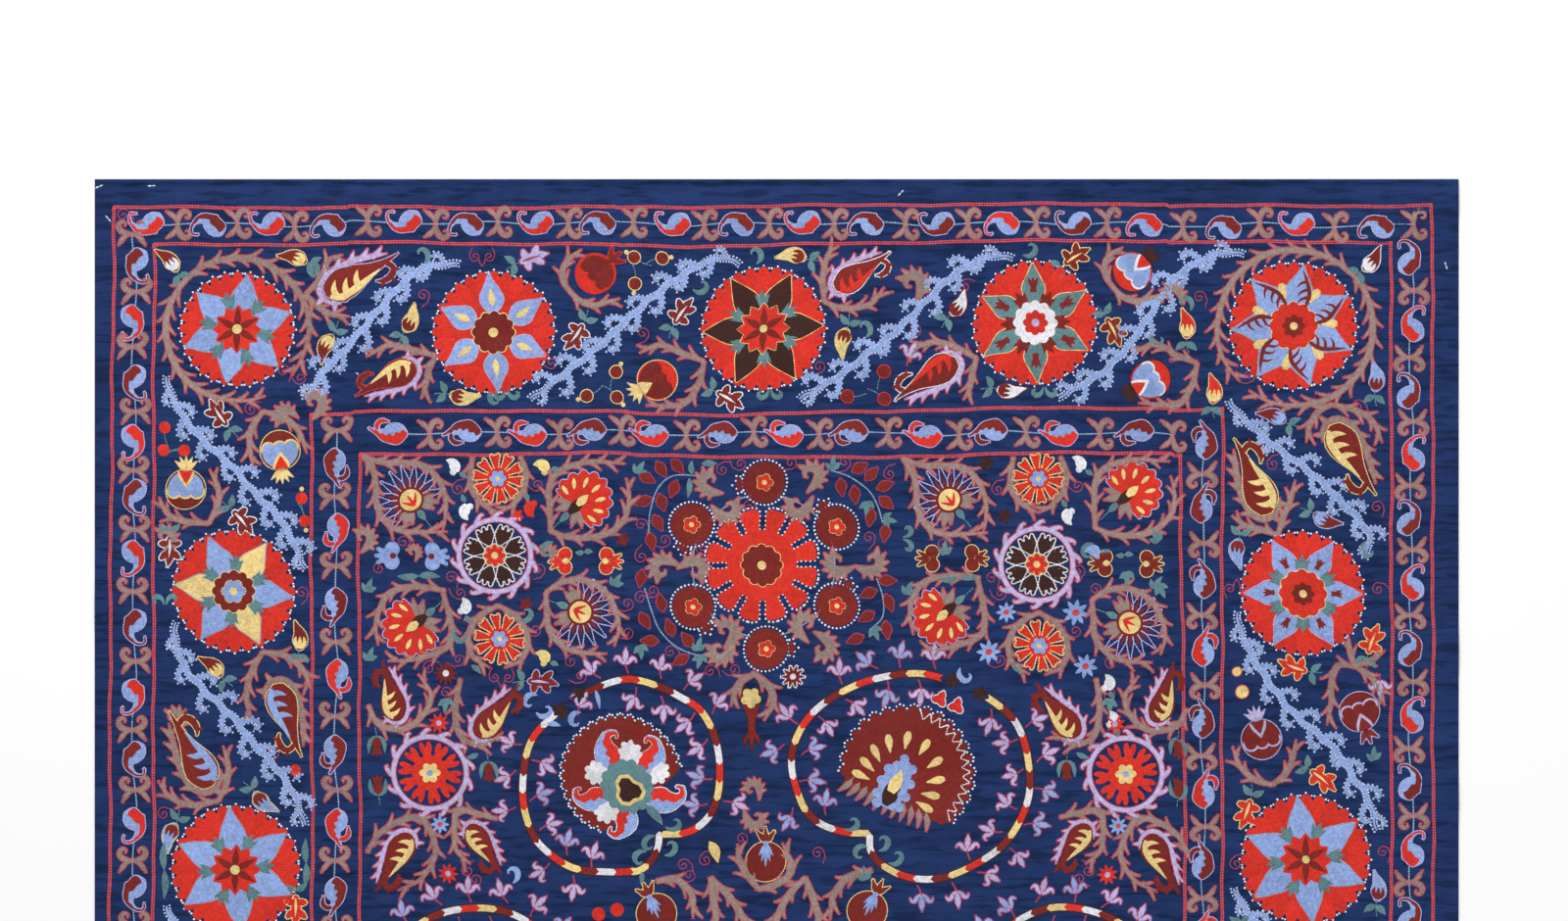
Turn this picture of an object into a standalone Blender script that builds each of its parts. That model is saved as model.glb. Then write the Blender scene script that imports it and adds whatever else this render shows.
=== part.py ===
"""Suzani: an embroidered hanging of five hand-loom panels, laid flat, face up.

Metres, +Z up. The origin is on the floor under the middle of the cloth, +Y runs up
the design and +X to its right. Each panel is one thin sheet that lies on the floor
and lifts over the soft ripples which the stitching draws into the cloth.
"""
import math

import bmesh
import bpy
from mathutils import Vector

CLOTH_WIDTH = 2.087
CLOTH_LENGTH = 2.541
CLOTH_THICKNESS = 0.0018
SEAM_GAP = 0.0003
COLUMNS_A_PANEL = 6
ROWS_A_PANEL = 72
FLATTEST = 0.00005

INDIGO_LINEAR = (0.011, 0.026, 0.115, 1.0)
CLOTH_ROUGHNESS = 0.86

PANEL_NAMES = ("panel_left", "panel_inner_left", "panel_middle", "panel_inner_right", "panel_right")

# The seams lean a little to the right going down: x at each of these heights of the cloth.
SEAM_HEIGHTS = (CLOTH_LENGTH / 2, 0.870, 0.135, -CLOTH_LENGTH / 2)
SEAMS = (
    # at the top, at the shoulder, above the middle, at the foot
    (-0.655, -0.651, -0.646, -0.643),
    (-0.247, -0.221, -0.219, -0.218),
    (0.173, 0.184, 0.189, 0.190),
    (0.595, 0.606, 0.618, 0.616),
)

# Ripples across the cloth: the crest runs from start to end and dies out sideways and at both ends.
RIPPLES = (
    # start_x, start_y, end_x, end_y, half_width, height
    (-0.90, 1.213, -0.36, 1.224, 0.060, 0.0030),
    (-0.20, 1.219, 0.42, 1.206, 0.058, 0.0034),
    (0.50, 1.226, 0.93, 1.198, 0.056, 0.0032),
    (0.80, 1.120, 1.02, 1.235, 0.055, 0.0028),
    (-0.60, 0.985, -0.30, 0.978, 0.062, 0.0022),
    (0.02, 1.000, 0.34, 0.992, 0.060, 0.0024),
    (0.44, 0.905, 0.72, 0.918, 0.062, 0.0022),
    (-0.14, 0.840, 0.16, 0.832, 0.058, 0.0026),
    (-0.62, 0.735, -0.38, 0.742, 0.060, 0.0020),
    (0.16, 0.700, 0.40, 0.690, 0.060, 0.0022),
    (-0.30, 0.520, -0.02, 0.512, 0.062, 0.0030),
    (0.10, 0.455, 0.46, 0.440, 0.064, 0.0034),
    (-0.44, 0.350, -0.16, 0.338, 0.062, 0.0028),
    (0.02, 0.290, 0.36, 0.280, 0.062, 0.0030),
    (0.86, 0.560, 1.03, 0.548, 0.056, 0.0026),
    (0.88, 0.330, 1.03, 0.322, 0.056, 0.0022),
    (-1.03, 0.610, -0.88, 0.602, 0.058, 0.0020),
    (-0.24, 0.110, 0.12, 0.098, 0.064, 0.0028),
    (0.20, -0.110, 0.52, -0.122, 0.064, 0.0026),
    (-0.48, -0.290, -0.18, -0.300, 0.062, 0.0030),
    (0.04, -0.400, 0.40, -0.388, 0.062, 0.0030),
    (-0.30, -0.560, 0.00, -0.572, 0.062, 0.0026),
    (0.86, -0.470, 1.03, -0.480, 0.056, 0.0022),
    (-1.03, -0.700, -0.87, -0.690, 0.058, 0.0020),
    (-0.12, -0.850, 0.18, -0.842, 0.060, 0.0024),
    (0.42, -0.930, 0.70, -0.920, 0.060, 0.0022),
    (-0.62, -0.990, -0.32, -1.000, 0.060, 0.0022),
    (-0.84, -1.216, -0.28, -1.226, 0.058, 0.0030),
    (-0.10, -1.222, 0.50, -1.212, 0.058, 0.0032),
    (0.58, -1.208, 0.96, -1.224, 0.056, 0.0028),
)


def seam_x(seam, y):
    """x of a seam at height y, straight between the named heights."""
    for upper, lower, x_upper, x_lower in zip(SEAM_HEIGHTS, SEAM_HEIGHTS[1:], seam, seam[1:]):
        if y >= lower:
            share = (upper - y) / (upper - lower)
            return x_upper + share * (x_lower - x_upper)
    return seam[-1]


def soft_step(distance, reach):
    """1 on the crest, falling smoothly to 0 at the reach."""
    if distance >= reach:
        return 0.0
    return 0.5 + 0.5 * math.cos(math.pi * distance / reach)


def lift(x, y):
    """How far the cloth stands off the floor at a point."""
    height = 0.0
    for start_x, start_y, end_x, end_y, half_width, crest in RIPPLES:
        start = Vector((start_x, start_y))
        along = Vector((end_x, end_y)) - start
        share = (Vector((x, y)) - start).dot(along) / along.length_squared
        nearest = start + along * min(max(share, 0.0), 1.0)
        height += crest * soft_step((Vector((x, y)) - nearest).length, half_width)
    return height if height > FLATTEST else 0.0


def panel_edges(index, y):
    """Left and right edge of a panel at height y, half a gap clear of each seam."""
    left = -CLOTH_WIDTH / 2
    right = CLOTH_WIDTH / 2
    if index > 0:
        left = seam_x(SEAMS[index - 1], y) + SEAM_GAP / 2
    if index < len(SEAMS):
        right = seam_x(SEAMS[index], y) - SEAM_GAP / 2
    return left, right


def indigo_cotton(name):
    """Dark blue cotton."""
    material = bpy.data.materials.new(name)
    material.use_nodes = True
    shader = material.node_tree.nodes["Principled BSDF"]
    shader.inputs["Base Color"].default_value = INDIGO_LINEAR
    shader.inputs["Roughness"].default_value = CLOTH_ROUGHNESS
    shader.inputs["Metallic"].default_value = 0.0
    return material


def make_panel(index, name, collection):
    """One loom width: a grid laid between its seams, lifted over the ripples, then thickened."""
    bm = bmesh.new()
    bmesh.ops.create_grid(bm, x_segments=COLUMNS_A_PANEL, y_segments=ROWS_A_PANEL, size=0.5)
    for vert in bm.verts:
        across = vert.co.x + 0.5
        y = vert.co.y * CLOTH_LENGTH
        left, right = panel_edges(index, y)
        x = left + across * (right - left)
        vert.co = (x, y, lift(x, y))
    raised = bmesh.ops.extrude_face_region(bm, geom=bm.faces[:])
    top = [item for item in raised["geom"] if isinstance(item, bmesh.types.BMVert)]
    bmesh.ops.translate(bm, verts=top, vec=(0.0, 0.0, CLOTH_THICKNESS))
    bmesh.ops.recalc_face_normals(bm, faces=bm.faces)
    mesh = bpy.data.meshes.new(name)
    bm.to_mesh(mesh)
    bm.free()
    mesh.shade_smooth()
    mesh.set_sharp_from_angle(angle=math.radians(40))
    mesh.materials.append(indigo_cotton(name + "_cotton"))
    panel = bpy.data.objects.new(name, mesh)
    collection.objects.link(panel)


def main():
    """Clear the scene and lay the five panels side by side."""
    for existing in list(bpy.data.objects):
        bpy.data.objects.remove(existing, do_unlink=True)
    collection = bpy.data.collections.new("suzani")
    bpy.context.scene.collection.children.link(collection)
    for index, name in enumerate(PANEL_NAMES):
        make_panel(index, name, collection)


main()
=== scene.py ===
"""The looks of a suzani: five joined loom widths of indigo cotton under chain stitch.

The embroidery is drawn on a chart with one square to a row of chain stitch. The chart keeps the
photograph's own numbering, so the cloth's left edge is column 97 and its top edge row 183, x
runs right and y runs down. Turns are in degrees, clockwise on the chart.
"""
import math
import random

import bpy
import numpy as np
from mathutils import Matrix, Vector
from mathutils.bvhtree import BVHTree


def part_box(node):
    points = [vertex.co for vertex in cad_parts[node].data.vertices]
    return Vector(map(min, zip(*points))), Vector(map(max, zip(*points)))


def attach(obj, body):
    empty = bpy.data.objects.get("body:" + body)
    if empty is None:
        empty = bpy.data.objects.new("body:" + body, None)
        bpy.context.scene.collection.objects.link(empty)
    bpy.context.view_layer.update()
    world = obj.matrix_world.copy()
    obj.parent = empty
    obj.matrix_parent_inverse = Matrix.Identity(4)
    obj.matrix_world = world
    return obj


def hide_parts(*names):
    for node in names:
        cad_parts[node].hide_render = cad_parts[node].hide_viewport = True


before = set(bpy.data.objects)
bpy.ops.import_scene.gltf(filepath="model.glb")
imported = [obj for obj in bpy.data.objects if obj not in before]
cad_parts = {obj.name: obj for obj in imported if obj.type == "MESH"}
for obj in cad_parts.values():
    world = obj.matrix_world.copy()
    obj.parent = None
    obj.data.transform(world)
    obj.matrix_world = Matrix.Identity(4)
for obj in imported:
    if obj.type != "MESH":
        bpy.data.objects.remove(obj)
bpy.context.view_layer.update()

bl_info = {
    "name": "Suzani",
    "version": (1, 0, 0),
    "blender": (4, 5, 0),
    "location": "View3D > Sidebar > Suzani",
    "description": "Lays out a joined suzani and sews its rosettes, rings and borders in chain stitch",
    "category": "Add Mesh",
}

PANELS = ("panel_left", "panel_inner_left", "panel_middle", "panel_inner_right", "panel_right")

CLOTH_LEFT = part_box("panel_left")[0][0]
CLOTH_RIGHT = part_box("panel_right")[1][0]
CLOTH_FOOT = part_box("panel_middle")[0][1]
CLOTH_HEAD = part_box("panel_middle")[1][1]

# The chart: its squares' size, the columns of the cloth's edges, the rows of its top and middle.
CHART_LEFT = 97.0
CHART_RIGHT = 1488.33
CHART_TOP = 183.0
ROW = (CLOTH_RIGHT - CLOTH_LEFT) / (CHART_RIGHT - CHART_LEFT)
CHART_MIDDLE = CHART_TOP + (CLOTH_HEAD - CLOTH_FOOT) / 2 / ROW

SEAM_GAP = 0.00005
# The seams lean a little to the right going down: x at each of these heights of the cloth.
SEAM_HEIGHTS = (CLOTH_HEAD, 0.870, 0.135, CLOTH_FOOT)
SEAMS = (
    # at the top, at the shoulder, above the middle, at the foot
    (-0.655, -0.651, -0.646, -0.643),
    (-0.247, -0.221, -0.219, -0.218),
    (0.173, 0.184, 0.189, 0.190),
    (0.595, 0.606, 0.618, 0.616),
)

# The solids' own ripples, in metres: the crest runs from start to end.
RIPPLES = (
    # start_x, start_y, end_x, end_y, half_width, height
    (-0.90, 1.213, -0.36, 1.224, 0.060, 0.0030),
    (-0.20, 1.219, 0.42, 1.206, 0.058, 0.0034),
    (0.50, 1.226, 0.93, 1.198, 0.056, 0.0032),
    (0.80, 1.120, 1.02, 1.235, 0.055, 0.0028),
    (-0.60, 0.985, -0.30, 0.978, 0.062, 0.0022),
    (0.02, 1.000, 0.34, 0.992, 0.060, 0.0024),
    (0.44, 0.905, 0.72, 0.918, 0.062, 0.0022),
    (-0.14, 0.840, 0.16, 0.832, 0.058, 0.0026),
    (-0.62, 0.735, -0.38, 0.742, 0.060, 0.0020),
    (0.16, 0.700, 0.40, 0.690, 0.060, 0.0022),
    (-0.30, 0.520, -0.02, 0.512, 0.062, 0.0030),
    (0.10, 0.455, 0.46, 0.440, 0.064, 0.0034),
    (-0.44, 0.350, -0.16, 0.338, 0.062, 0.0028),
    (0.02, 0.290, 0.36, 0.280, 0.062, 0.0030),
    (0.86, 0.560, 1.03, 0.548, 0.056, 0.0026),
    (0.88, 0.330, 1.03, 0.322, 0.056, 0.0022),
    (-1.03, 0.610, -0.88, 0.602, 0.058, 0.0020),
    (-0.24, 0.110, 0.12, 0.098, 0.064, 0.0028),
    (0.20, -0.110, 0.52, -0.122, 0.064, 0.0026),
    (-0.48, -0.290, -0.18, -0.300, 0.062, 0.0030),
    (0.04, -0.400, 0.40, -0.388, 0.062, 0.0030),
    (-0.30, -0.560, 0.00, -0.572, 0.062, 0.0026),
    (0.86, -0.470, 1.03, -0.480, 0.056, 0.0022),
    (-1.03, -0.700, -0.87, -0.690, 0.058, 0.0020),
    (-0.12, -0.850, 0.18, -0.842, 0.060, 0.0024),
    (0.42, -0.930, 0.70, -0.920, 0.060, 0.0022),
    (-0.62, -0.990, -0.32, -1.000, 0.060, 0.0022),
    (-0.84, -1.216, -0.28, -1.226, 0.058, 0.0030),
    (-0.10, -1.222, 0.50, -1.212, 0.058, 0.0032),
    (0.58, -1.208, 0.96, -1.224, 0.056, 0.0028),
)

# Finer creases that the solids leave out, in metres. A trough has a height below zero.
CREASES = (
    # start_x, start_y, end_x, end_y, half_width, height
    (-0.80, 1.246, -0.30, 1.250, 0.014, 0.0010),
    (-0.62, 1.234, -0.26, 1.232, 0.010, -0.0008),
    (-0.18, 1.252, 0.20, 1.248, 0.012, 0.0010),
    (-0.06, 1.238, 0.40, 1.228, 0.011, -0.0009),
    (0.24, 1.250, 0.58, 1.253, 0.013, 0.0011),
    (0.62, 1.246, 0.98, 1.238, 0.012, 0.0010),
    (0.66, 1.232, 0.90, 1.226, 0.010, -0.0008),
    (0.93, 1.176, 1.03, 1.262, 0.013, 0.0012),
    (0.97, 1.150, 1.036, 1.214, 0.011, -0.0010),
    (0.985, 0.700, 1.034, 0.694, 0.010, 0.0010),
    (0.982, 0.512, 1.034, 0.520, 0.011, 0.0011),
    (0.984, 0.470, 1.034, 0.462, 0.009, -0.0008),
    (0.986, 0.356, 1.034, 0.352, 0.010, 0.0010),
    (0.985, 0.210, 1.034, 0.214, 0.010, 0.0008),
    (-1.036, 0.870, -1.004, 0.866, 0.010, 0.0008),
    (-1.036, 0.436, -1.000, 0.440, 0.010, 0.0009),
    (-0.96, -1.244, -0.40, -1.250, 0.013, 0.0010),
    (-0.30, -1.250, 0.16, -1.246, 0.012, 0.0010),
    (0.22, -1.236, 0.70, -1.244, 0.012, -0.0009),
    (0.60, -1.252, 1.00, -1.248, 0.012, 0.0010),
)

# Each loom width was embroidered alone and joined a little off its neighbours, in squares.
PANEL_SLIPS = (
    # slip_x, slip_y
    (0.0, 0.0),
    (0.0, -1.4),
    (0.0, -0.5),
    (0.0, -0.9),
    (0.0, 1.2),
)

CLOTH_THICKNESS = 0.0012
FLOOR_CLEARANCE = 0.0001
HEM_WIDTH = 0.007
HEM_EXTRA = 0.0005
# How wide the hem's step is, and how far in from the edges the even cells of a sheet begin.
HEM_STEP = 0.0006
ROWS_INSET = 0.012
COLUMNS_INSET = 0.015
# Where the rays start that feel down for the cloth's faces.
PROBE_HEIGHT = 0.05
SEAM_VALLEY = 0.0005
SEAM_VALLEY_WIDTH = 0.004

# Heights of the sewing over the cloth: a row's foot, the edge and crown of a fill, one step up.
ROW_FOOT = 0.00005
FILL_EDGE = 0.00035
FILL_CROWN = 0.00065
STEP_UP = 0.00040

STITCH_LENGTH = 0.0043
STITCH_WIDTH = 0.0021
BORDER_STITCH_WIDTH = 0.0032
STITCH_HEIGHT = 0.0005
# How far a stitch's loop reaches each way from its middle, as a share of its length.
LOOP_REACH = 0.88
KNOT_WIDTH = 0.0036
KNOT_HEIGHT = 0.0007
LINE_SPACING = 1.9
# Along the rings, in squares: the bands, the sprigs and how clear these keep of other motifs.
BAND_LENGTH = 18
BAND_HALF_WIDTH = 3.4
SPRIGS_OUTSIDE = 30
SPRIGS_INSIDE = 39
SPRIG_CLEARANCE = 19
# From thorn to thorn on a branch, from shoot to shoot on a feather, and a thorny ring's radius.
THORN_SPACING = 8.5
SHOOT_SPACING = 15.5
THORN_RING_RADIUS = 37
# How far the hand strays from the chart, and the rows and stitches that show in a fill, in metres.
WAVER = 0.0011
FILL_ROW_WIDTH = 0.0024
FILL_STITCH_LENGTH = 0.0040

# Places where a stray white thread end lies on the cloth, in squares.
THREAD_ENDS = ((100, 191), (110, 222), (154, 190), (366, 383), (919, 199), (1476, 272))

THREADS = {
    # name: (record's slot, sheen, width of its rows beside the usual)
    "coral": ("coral_thread", 0.10, 0.95),
    "rose": ("coral_thread", 0.05, 1.0),
    "scarlet": ("scarlet_thread", 0.10, 1.0),
    "maroon": ("maroon_thread", 0.04, 1.0),
    "brown": ("brown_thread", 0.02, 0.9),
    "sky": ("sky_thread", 0.12, 1.0),
    "pearl": ("sky_thread", 0.12, 1.0),
    "lilac": ("lilac_thread", 0.12, 1.0),
    "mist": ("sage_thread", 0.10, 1.35),
    "white": ("white_thread", 0.10, 1.1),
    "cream": ("cream_thread", 0.10, 1.0),
    "sage": ("sage_thread", 0.10, 1.0),
    "taupe": ("taupe_thread", 0.06, 1.0),
}


def colour_property(label, description, red, green, blue):
    """A colour that the user may change, given by its screen values from 0 to 255."""
    linear = [((value / 255 + 0.055) / 1.055) ** 2.4 for value in (red, green, blue)]
    return bpy.props.FloatVectorProperty(
        name=label, description=description, subtype="COLOR", size=3, min=0, max=1, default=linear
    )


class SuzaniClothSettings(bpy.types.PropertyGroup):
    """Sizes and colour of the ground cloth."""

    ground: colour_property("Ground", "Colour of the indigo cotton", 31, 50, 94)
    column_pitch: bpy.props.FloatProperty(
        name="Column pitch", description="Width of a mesh cell of the cloth", default=0.030, unit="LENGTH"
    )
    row_pitch: bpy.props.FloatProperty(
        name="Row pitch", description="Height of a mesh cell of the cloth", default=0.008, unit="LENGTH"
    )
    weave_pitch: bpy.props.FloatProperty(
        name="Weave pitch", description="Distance between two warp threads", default=0.0011, unit="LENGTH"
    )


class SuzaniThreadSettings(bpy.types.PropertyGroup):
    """Sizes and colours of the embroidery threads."""

    stitch_length: bpy.props.FloatProperty(
        name="Stitch length", description="Length of one chain stitch", default=STITCH_LENGTH, unit="LENGTH"
    )
    stitch_width: bpy.props.FloatProperty(
        name="Stitch width", description="Width of one chain stitch", default=STITCH_WIDTH, unit="LENGTH"
    )
    knot_width: bpy.props.FloatProperty(
        name="Knot width", description="Width of one edging knot", default=KNOT_WIDTH, unit="LENGTH"
    )
    coral: colour_property("Coral", "Border lines and leaf outlines", 205, 72, 78)
    rose: colour_property("Rose", "Tendrils and fine stems", 176, 64, 92)
    scarlet: colour_property("Scarlet", "Rosettes and suns", 222, 47, 32)
    maroon: colour_property("Maroon", "Botehs and pomegranates", 128, 35, 29)
    brown: colour_property("Brown", "Dark stars and ring ends", 62, 31, 26)
    sky: colour_property("Sky", "Blue petals and feather sprigs", 146, 171, 226)
    pearl: colour_property("Pearl", "Knots along the feathery sprigs", 186, 196, 228)
    lilac: colour_property("Lilac", "Outlines and small sprigs", 190, 180, 224)
    mist: colour_property("Mist", "Stems", 134, 158, 184)
    white: colour_property("White", "Knots and bands", 232, 232, 238)
    cream: colour_property("Cream", "Yellow petals and outlines", 240, 212, 140)
    sage: colour_property("Sage", "Green leaves", 96, 134, 140)
    taupe: colour_property("Taupe", "Thorny branches and curled leaves", 152, 134, 126)


def seam_x(seam, y):
    """x of a seam at each height y, straight between the named heights."""
    return np.interp(y, SEAM_HEIGHTS[::-1], seam[::-1])


def ridge_heights(table, x, y):
    """Sum of the soft ridges of a table at each point."""
    height = np.zeros_like(x)
    for start_x, start_y, end_x, end_y, half_width, crest in table:
        along_x, along_y = end_x - start_x, end_y - start_y
        share = ((x - start_x) * along_x + (y - start_y) * along_y) / (along_x**2 + along_y**2)
        share = np.clip(share, 0.0, 1.0)
        distance = np.hypot(x - start_x - share * along_x, y - start_y - share * along_y)
        near = distance < half_width
        height[near] += crest * (0.5 + 0.5 * np.cos(math.pi * distance[near] / half_width))
    return height


def lift(x, y):
    """How far the underside of the cloth stands off the floor at each point."""
    height = ridge_heights(RIPPLES, x, y) + ridge_heights(CREASES, x, y)
    return FLOOR_CLEARANCE + np.maximum(height, 0.0)


def seam_distance(x, y):
    """Distance sideways from the nearest seam."""
    return np.min([np.abs(x - seam_x(seam, y)) for seam in SEAMS], axis=0)


def cloth_top(x, y):
    """Height of the cloth's face, raised over the hem and drawn down along the seams."""
    edge = np.minimum.reduce([x - CLOTH_LEFT, CLOTH_RIGHT - x, y - CLOTH_FOOT, CLOTH_HEAD - y])
    hem = HEM_EXTRA * (edge < HEM_WIDTH)
    valley = SEAM_VALLEY * np.clip(1 - seam_distance(x, y) / SEAM_VALLEY_WIDTH, 0, 1)
    return lift(x, y) + CLOTH_THICKNESS + hem - valley


def lengths_along(path):
    """Distance along a path to each of its points."""
    return np.concatenate([[0.0], np.cumsum(np.hypot(*np.diff(path, axis=0).T))])


def values_along(wanted, along, values):
    """A path's pairs of values at the wanted distances along it."""
    return np.column_stack([np.interp(wanted, along, values[:, axis]) for axis in (0, 1)])


def headings(path):
    """Unit steps ahead and aside at each point of a path."""
    ahead = np.gradient(path, axis=0)
    ahead /= np.maximum(np.hypot(*ahead.T), 1e-6)[:, None]
    return ahead, np.column_stack([-ahead[:, 1], ahead[:, 0]])


def spline(points, count=0, closed=False):
    """A smooth curve through the points, as count points at even steps (about three squares each)."""
    points = np.asarray(points, float)
    if closed:
        guides = np.vstack([points[-1:], points, points[:2]])
    else:
        guides = np.vstack([2 * points[:1] - points[1:2], points, 2 * points[-1:] - points[-2:-1]])
    before, start, end, after = (guides[i : len(guides) - 3 + i, None] for i in range(4))
    t = np.linspace(0, 1, 8, endpoint=False)[None, :, None]
    dense = 0.5 * (
        2 * start
        + (end - before) * t
        + (2 * before - 5 * start + 4 * end - after) * t**2
        + (3 * start - before - 3 * end + after) * t**3
    )
    dense = np.vstack([dense.reshape(-1, 2), guides[-2]])
    along = lengths_along(dense)
    count = count or max(5, int(along[-1] / 3.0) + 1)
    return values_along(np.linspace(0, along[-1], count), along, dense)


def circle(radius, count=0, start=0.0, sweep=360.0):
    """Points round a circle or an arc, from start degrees on."""
    count = count or max(8, int(abs(sweep) / 360 * radius * 2.4))
    angles = np.radians(start + np.linspace(0, sweep, count, endpoint=abs(sweep) < 360))
    return np.column_stack([radius * np.cos(angles), radius * np.sin(angles)])


class Skein:
    """The sewing of one thread: fills as quads and caps, rows as edges, knots as points."""

    def __init__(self):
        self.points, self.heights, self.uvs, self.tints = [], [], [], []
        self.quads, self.caps, self.edges = [], [], []
        self.count = 0

    def add(self, points, heights, uvs, tint):
        """Take in a run of points and return the number of its first one."""
        first = self.count
        self.points.append(points)
        self.heights.append(np.broadcast_to(heights, len(points)).astype(float))
        self.uvs.append(uvs if uvs is not None else np.zeros((len(points), 2)))
        self.tints.append(np.full(len(points), tint))
        self.count += len(points)
        return first


class Needle:
    """Sews on the chart at a place, a turn and a size, and keeps the skeins by thread."""

    def __init__(self, skeins, chance, matrix=((1.0, 0.0), (0.0, 1.0)), origin=(0.0, 0.0)):
        self.skeins = skeins
        self.chance = chance
        self.matrix = np.asarray(matrix, float)
        self.origin = np.asarray(origin, float)

    def at(self, x, y, turn=0.0, size=1.0, flip=False):
        """A needle moved to a place, turned clockwise, sized, and mirrored left to right first."""
        cosine, sine = math.cos(math.radians(turn)), math.sin(math.radians(turn))
        own = np.array(((cosine, -sine), (sine, cosine))) * size
        if flip:
            own = own @ np.array(((-1.0, 0.0), (0.0, 1.0)))
        origin = self.matrix @ np.array((x, y)) + self.origin
        return Needle(self.skeins, self.chance, self.matrix @ own, origin)

    def around(self, count, start=0.0):
        """Needles turned evenly round this one."""
        return [self.at(0, 0, start + index * 360 / count) for index in range(count)]

    def both_ways(self):
        """This needle and its mirror image across its x axis."""
        return self, self.at(0, 0, 180, flip=True)

    def placed(self, points):
        """Chart places of this needle's own points."""
        return np.asarray(points, float) @ self.matrix.T + self.origin

    def skein(self, thread):
        """The skein of a thread."""
        return self.skeins.setdefault(thread, Skein())

    def grid(self, points, heights, uvs, thread, closed=False, cap=False):
        """Sew a grid of points as a fill. A cap closes the middle of a round one."""
        rungs, columns = points.shape[:2]
        skein = self.skein(thread)
        tint = self.chance.random()
        flat = self.placed(points.reshape(-1, 2))
        first = skein.add(flat, heights.reshape(-1), uvs.reshape(-1, 2) * ROW, tint)
        numbers = first + np.arange(rungs * columns).reshape(rungs, columns)
        if closed:
            numbers = np.vstack([numbers, numbers[:1]])
        quads = np.stack([numbers[:-1, :-1], numbers[1:, :-1], numbers[1:, 1:], numbers[:-1, 1:]], -1)
        skein.quads.append(quads.reshape(-1, 4))
        if cap:
            middle = skein.add(flat[::columns].mean(axis=0)[None], heights[0, 0], None, tint)
            ring = numbers[:, 0]
            spokes = np.column_stack([ring[:-1], ring[1:], np.full(len(ring) - 1, middle)])
            skein.caps.append(spokes)

    def row(self, points, thread, over=0, closed=False):
        """Sew a row of chain stitches along the points."""
        skein = self.skein(thread)
        placed = self.placed(points)
        first = skein.add(placed, ROW_FOOT + over * STEP_UP, None, self.chance.random())
        numbers = first + np.arange(len(placed))
        if closed:
            numbers = np.append(numbers, first)
        skein.edges.append(np.column_stack([numbers[:-1], numbers[1:]]))

    def line(self, points, thread, over=0):
        """Sew one row along a smooth curve through the points."""
        self.row(spline(points), thread, over)

    def knots(self, points, thread):
        """Sew one knot at each point."""
        self.skein(thread).add(self.placed(points), ROW_FOOT, None, self.chance.random())

    def blade(self, places, widths, thread, edge=None, over=0, rungs=0):
        """Sew a straight leaf or petal along this needle's own x, through the places on it."""
        self.ribbon([(x, 0) for x in places], widths, thread, edge, over, rungs=rungs)

    def ribbon(self, spine, widths, thread, edge=None, over=0, split=None, rungs=0):
        """Sew a leaf, petal or branch: half-widths along a smooth spine.

        edge is the thread of a row round it. split is (thread, places of the border between the
        two threads from -1 to 1 along the spine, teeth): the far side takes the second thread.
        """
        middle = spline(spine, rungs)
        count = len(middle)
        stations = np.linspace(0, len(widths) - 1, count)
        half = np.maximum(np.interp(stations, np.arange(len(widths)), widths), 0.15)
        tangent, aside = headings(middle)
        normal = aside * half[:, None]
        along = lengths_along(middle)
        base = over * STEP_UP
        if thread and split:
            other, border, teeth = split
            share = np.linspace(0, 1, count)
            sway = np.interp(share, np.linspace(0, 1, len(border)), border)
            saw = (share * teeth % 1.0) - 0.5
            sway = np.clip(sway + 0.42 * saw * (teeth > 0), -0.92, 0.92)
            low, high = np.full(count, -1.0), np.full(count, 1.0)
            sides = ((thread, low, sway), (other, sway, high))
        elif thread:
            sides = ((thread, np.full(count, -1.0), np.full(count, 1.0)),)
        else:
            sides = ()
        for own, low, high in sides:
            columns = 3 if half.max() < 5 or split else 4
            across = low[:, None] + (high - low)[:, None] * np.linspace(0, 1, columns)[None]
            crown = np.clip((1 - np.abs(across)) * 3, 0, 1)
            heights = base + FILL_EDGE + (FILL_CROWN - FILL_EDGE) * crown
            points = middle[:, None] + normal[:, None] * across[..., None]
            uvs = np.stack([np.repeat(along[:, None], columns, 1), across * half[:, None]], -1)
            self.grid(points, heights, uvs, own)
        if edge:
            out = 1 + 0.5 / half[:, None]
            left, right = middle + normal * out, middle - normal * out
            tips = middle[:1] - tangent[:1] * 0.9, middle[-1:] + tangent[-1:] * 0.9
            outline = np.vstack([tips[0], left, tips[1], right[::-1]])
            self.row(outline, edge, over, closed=True)

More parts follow.
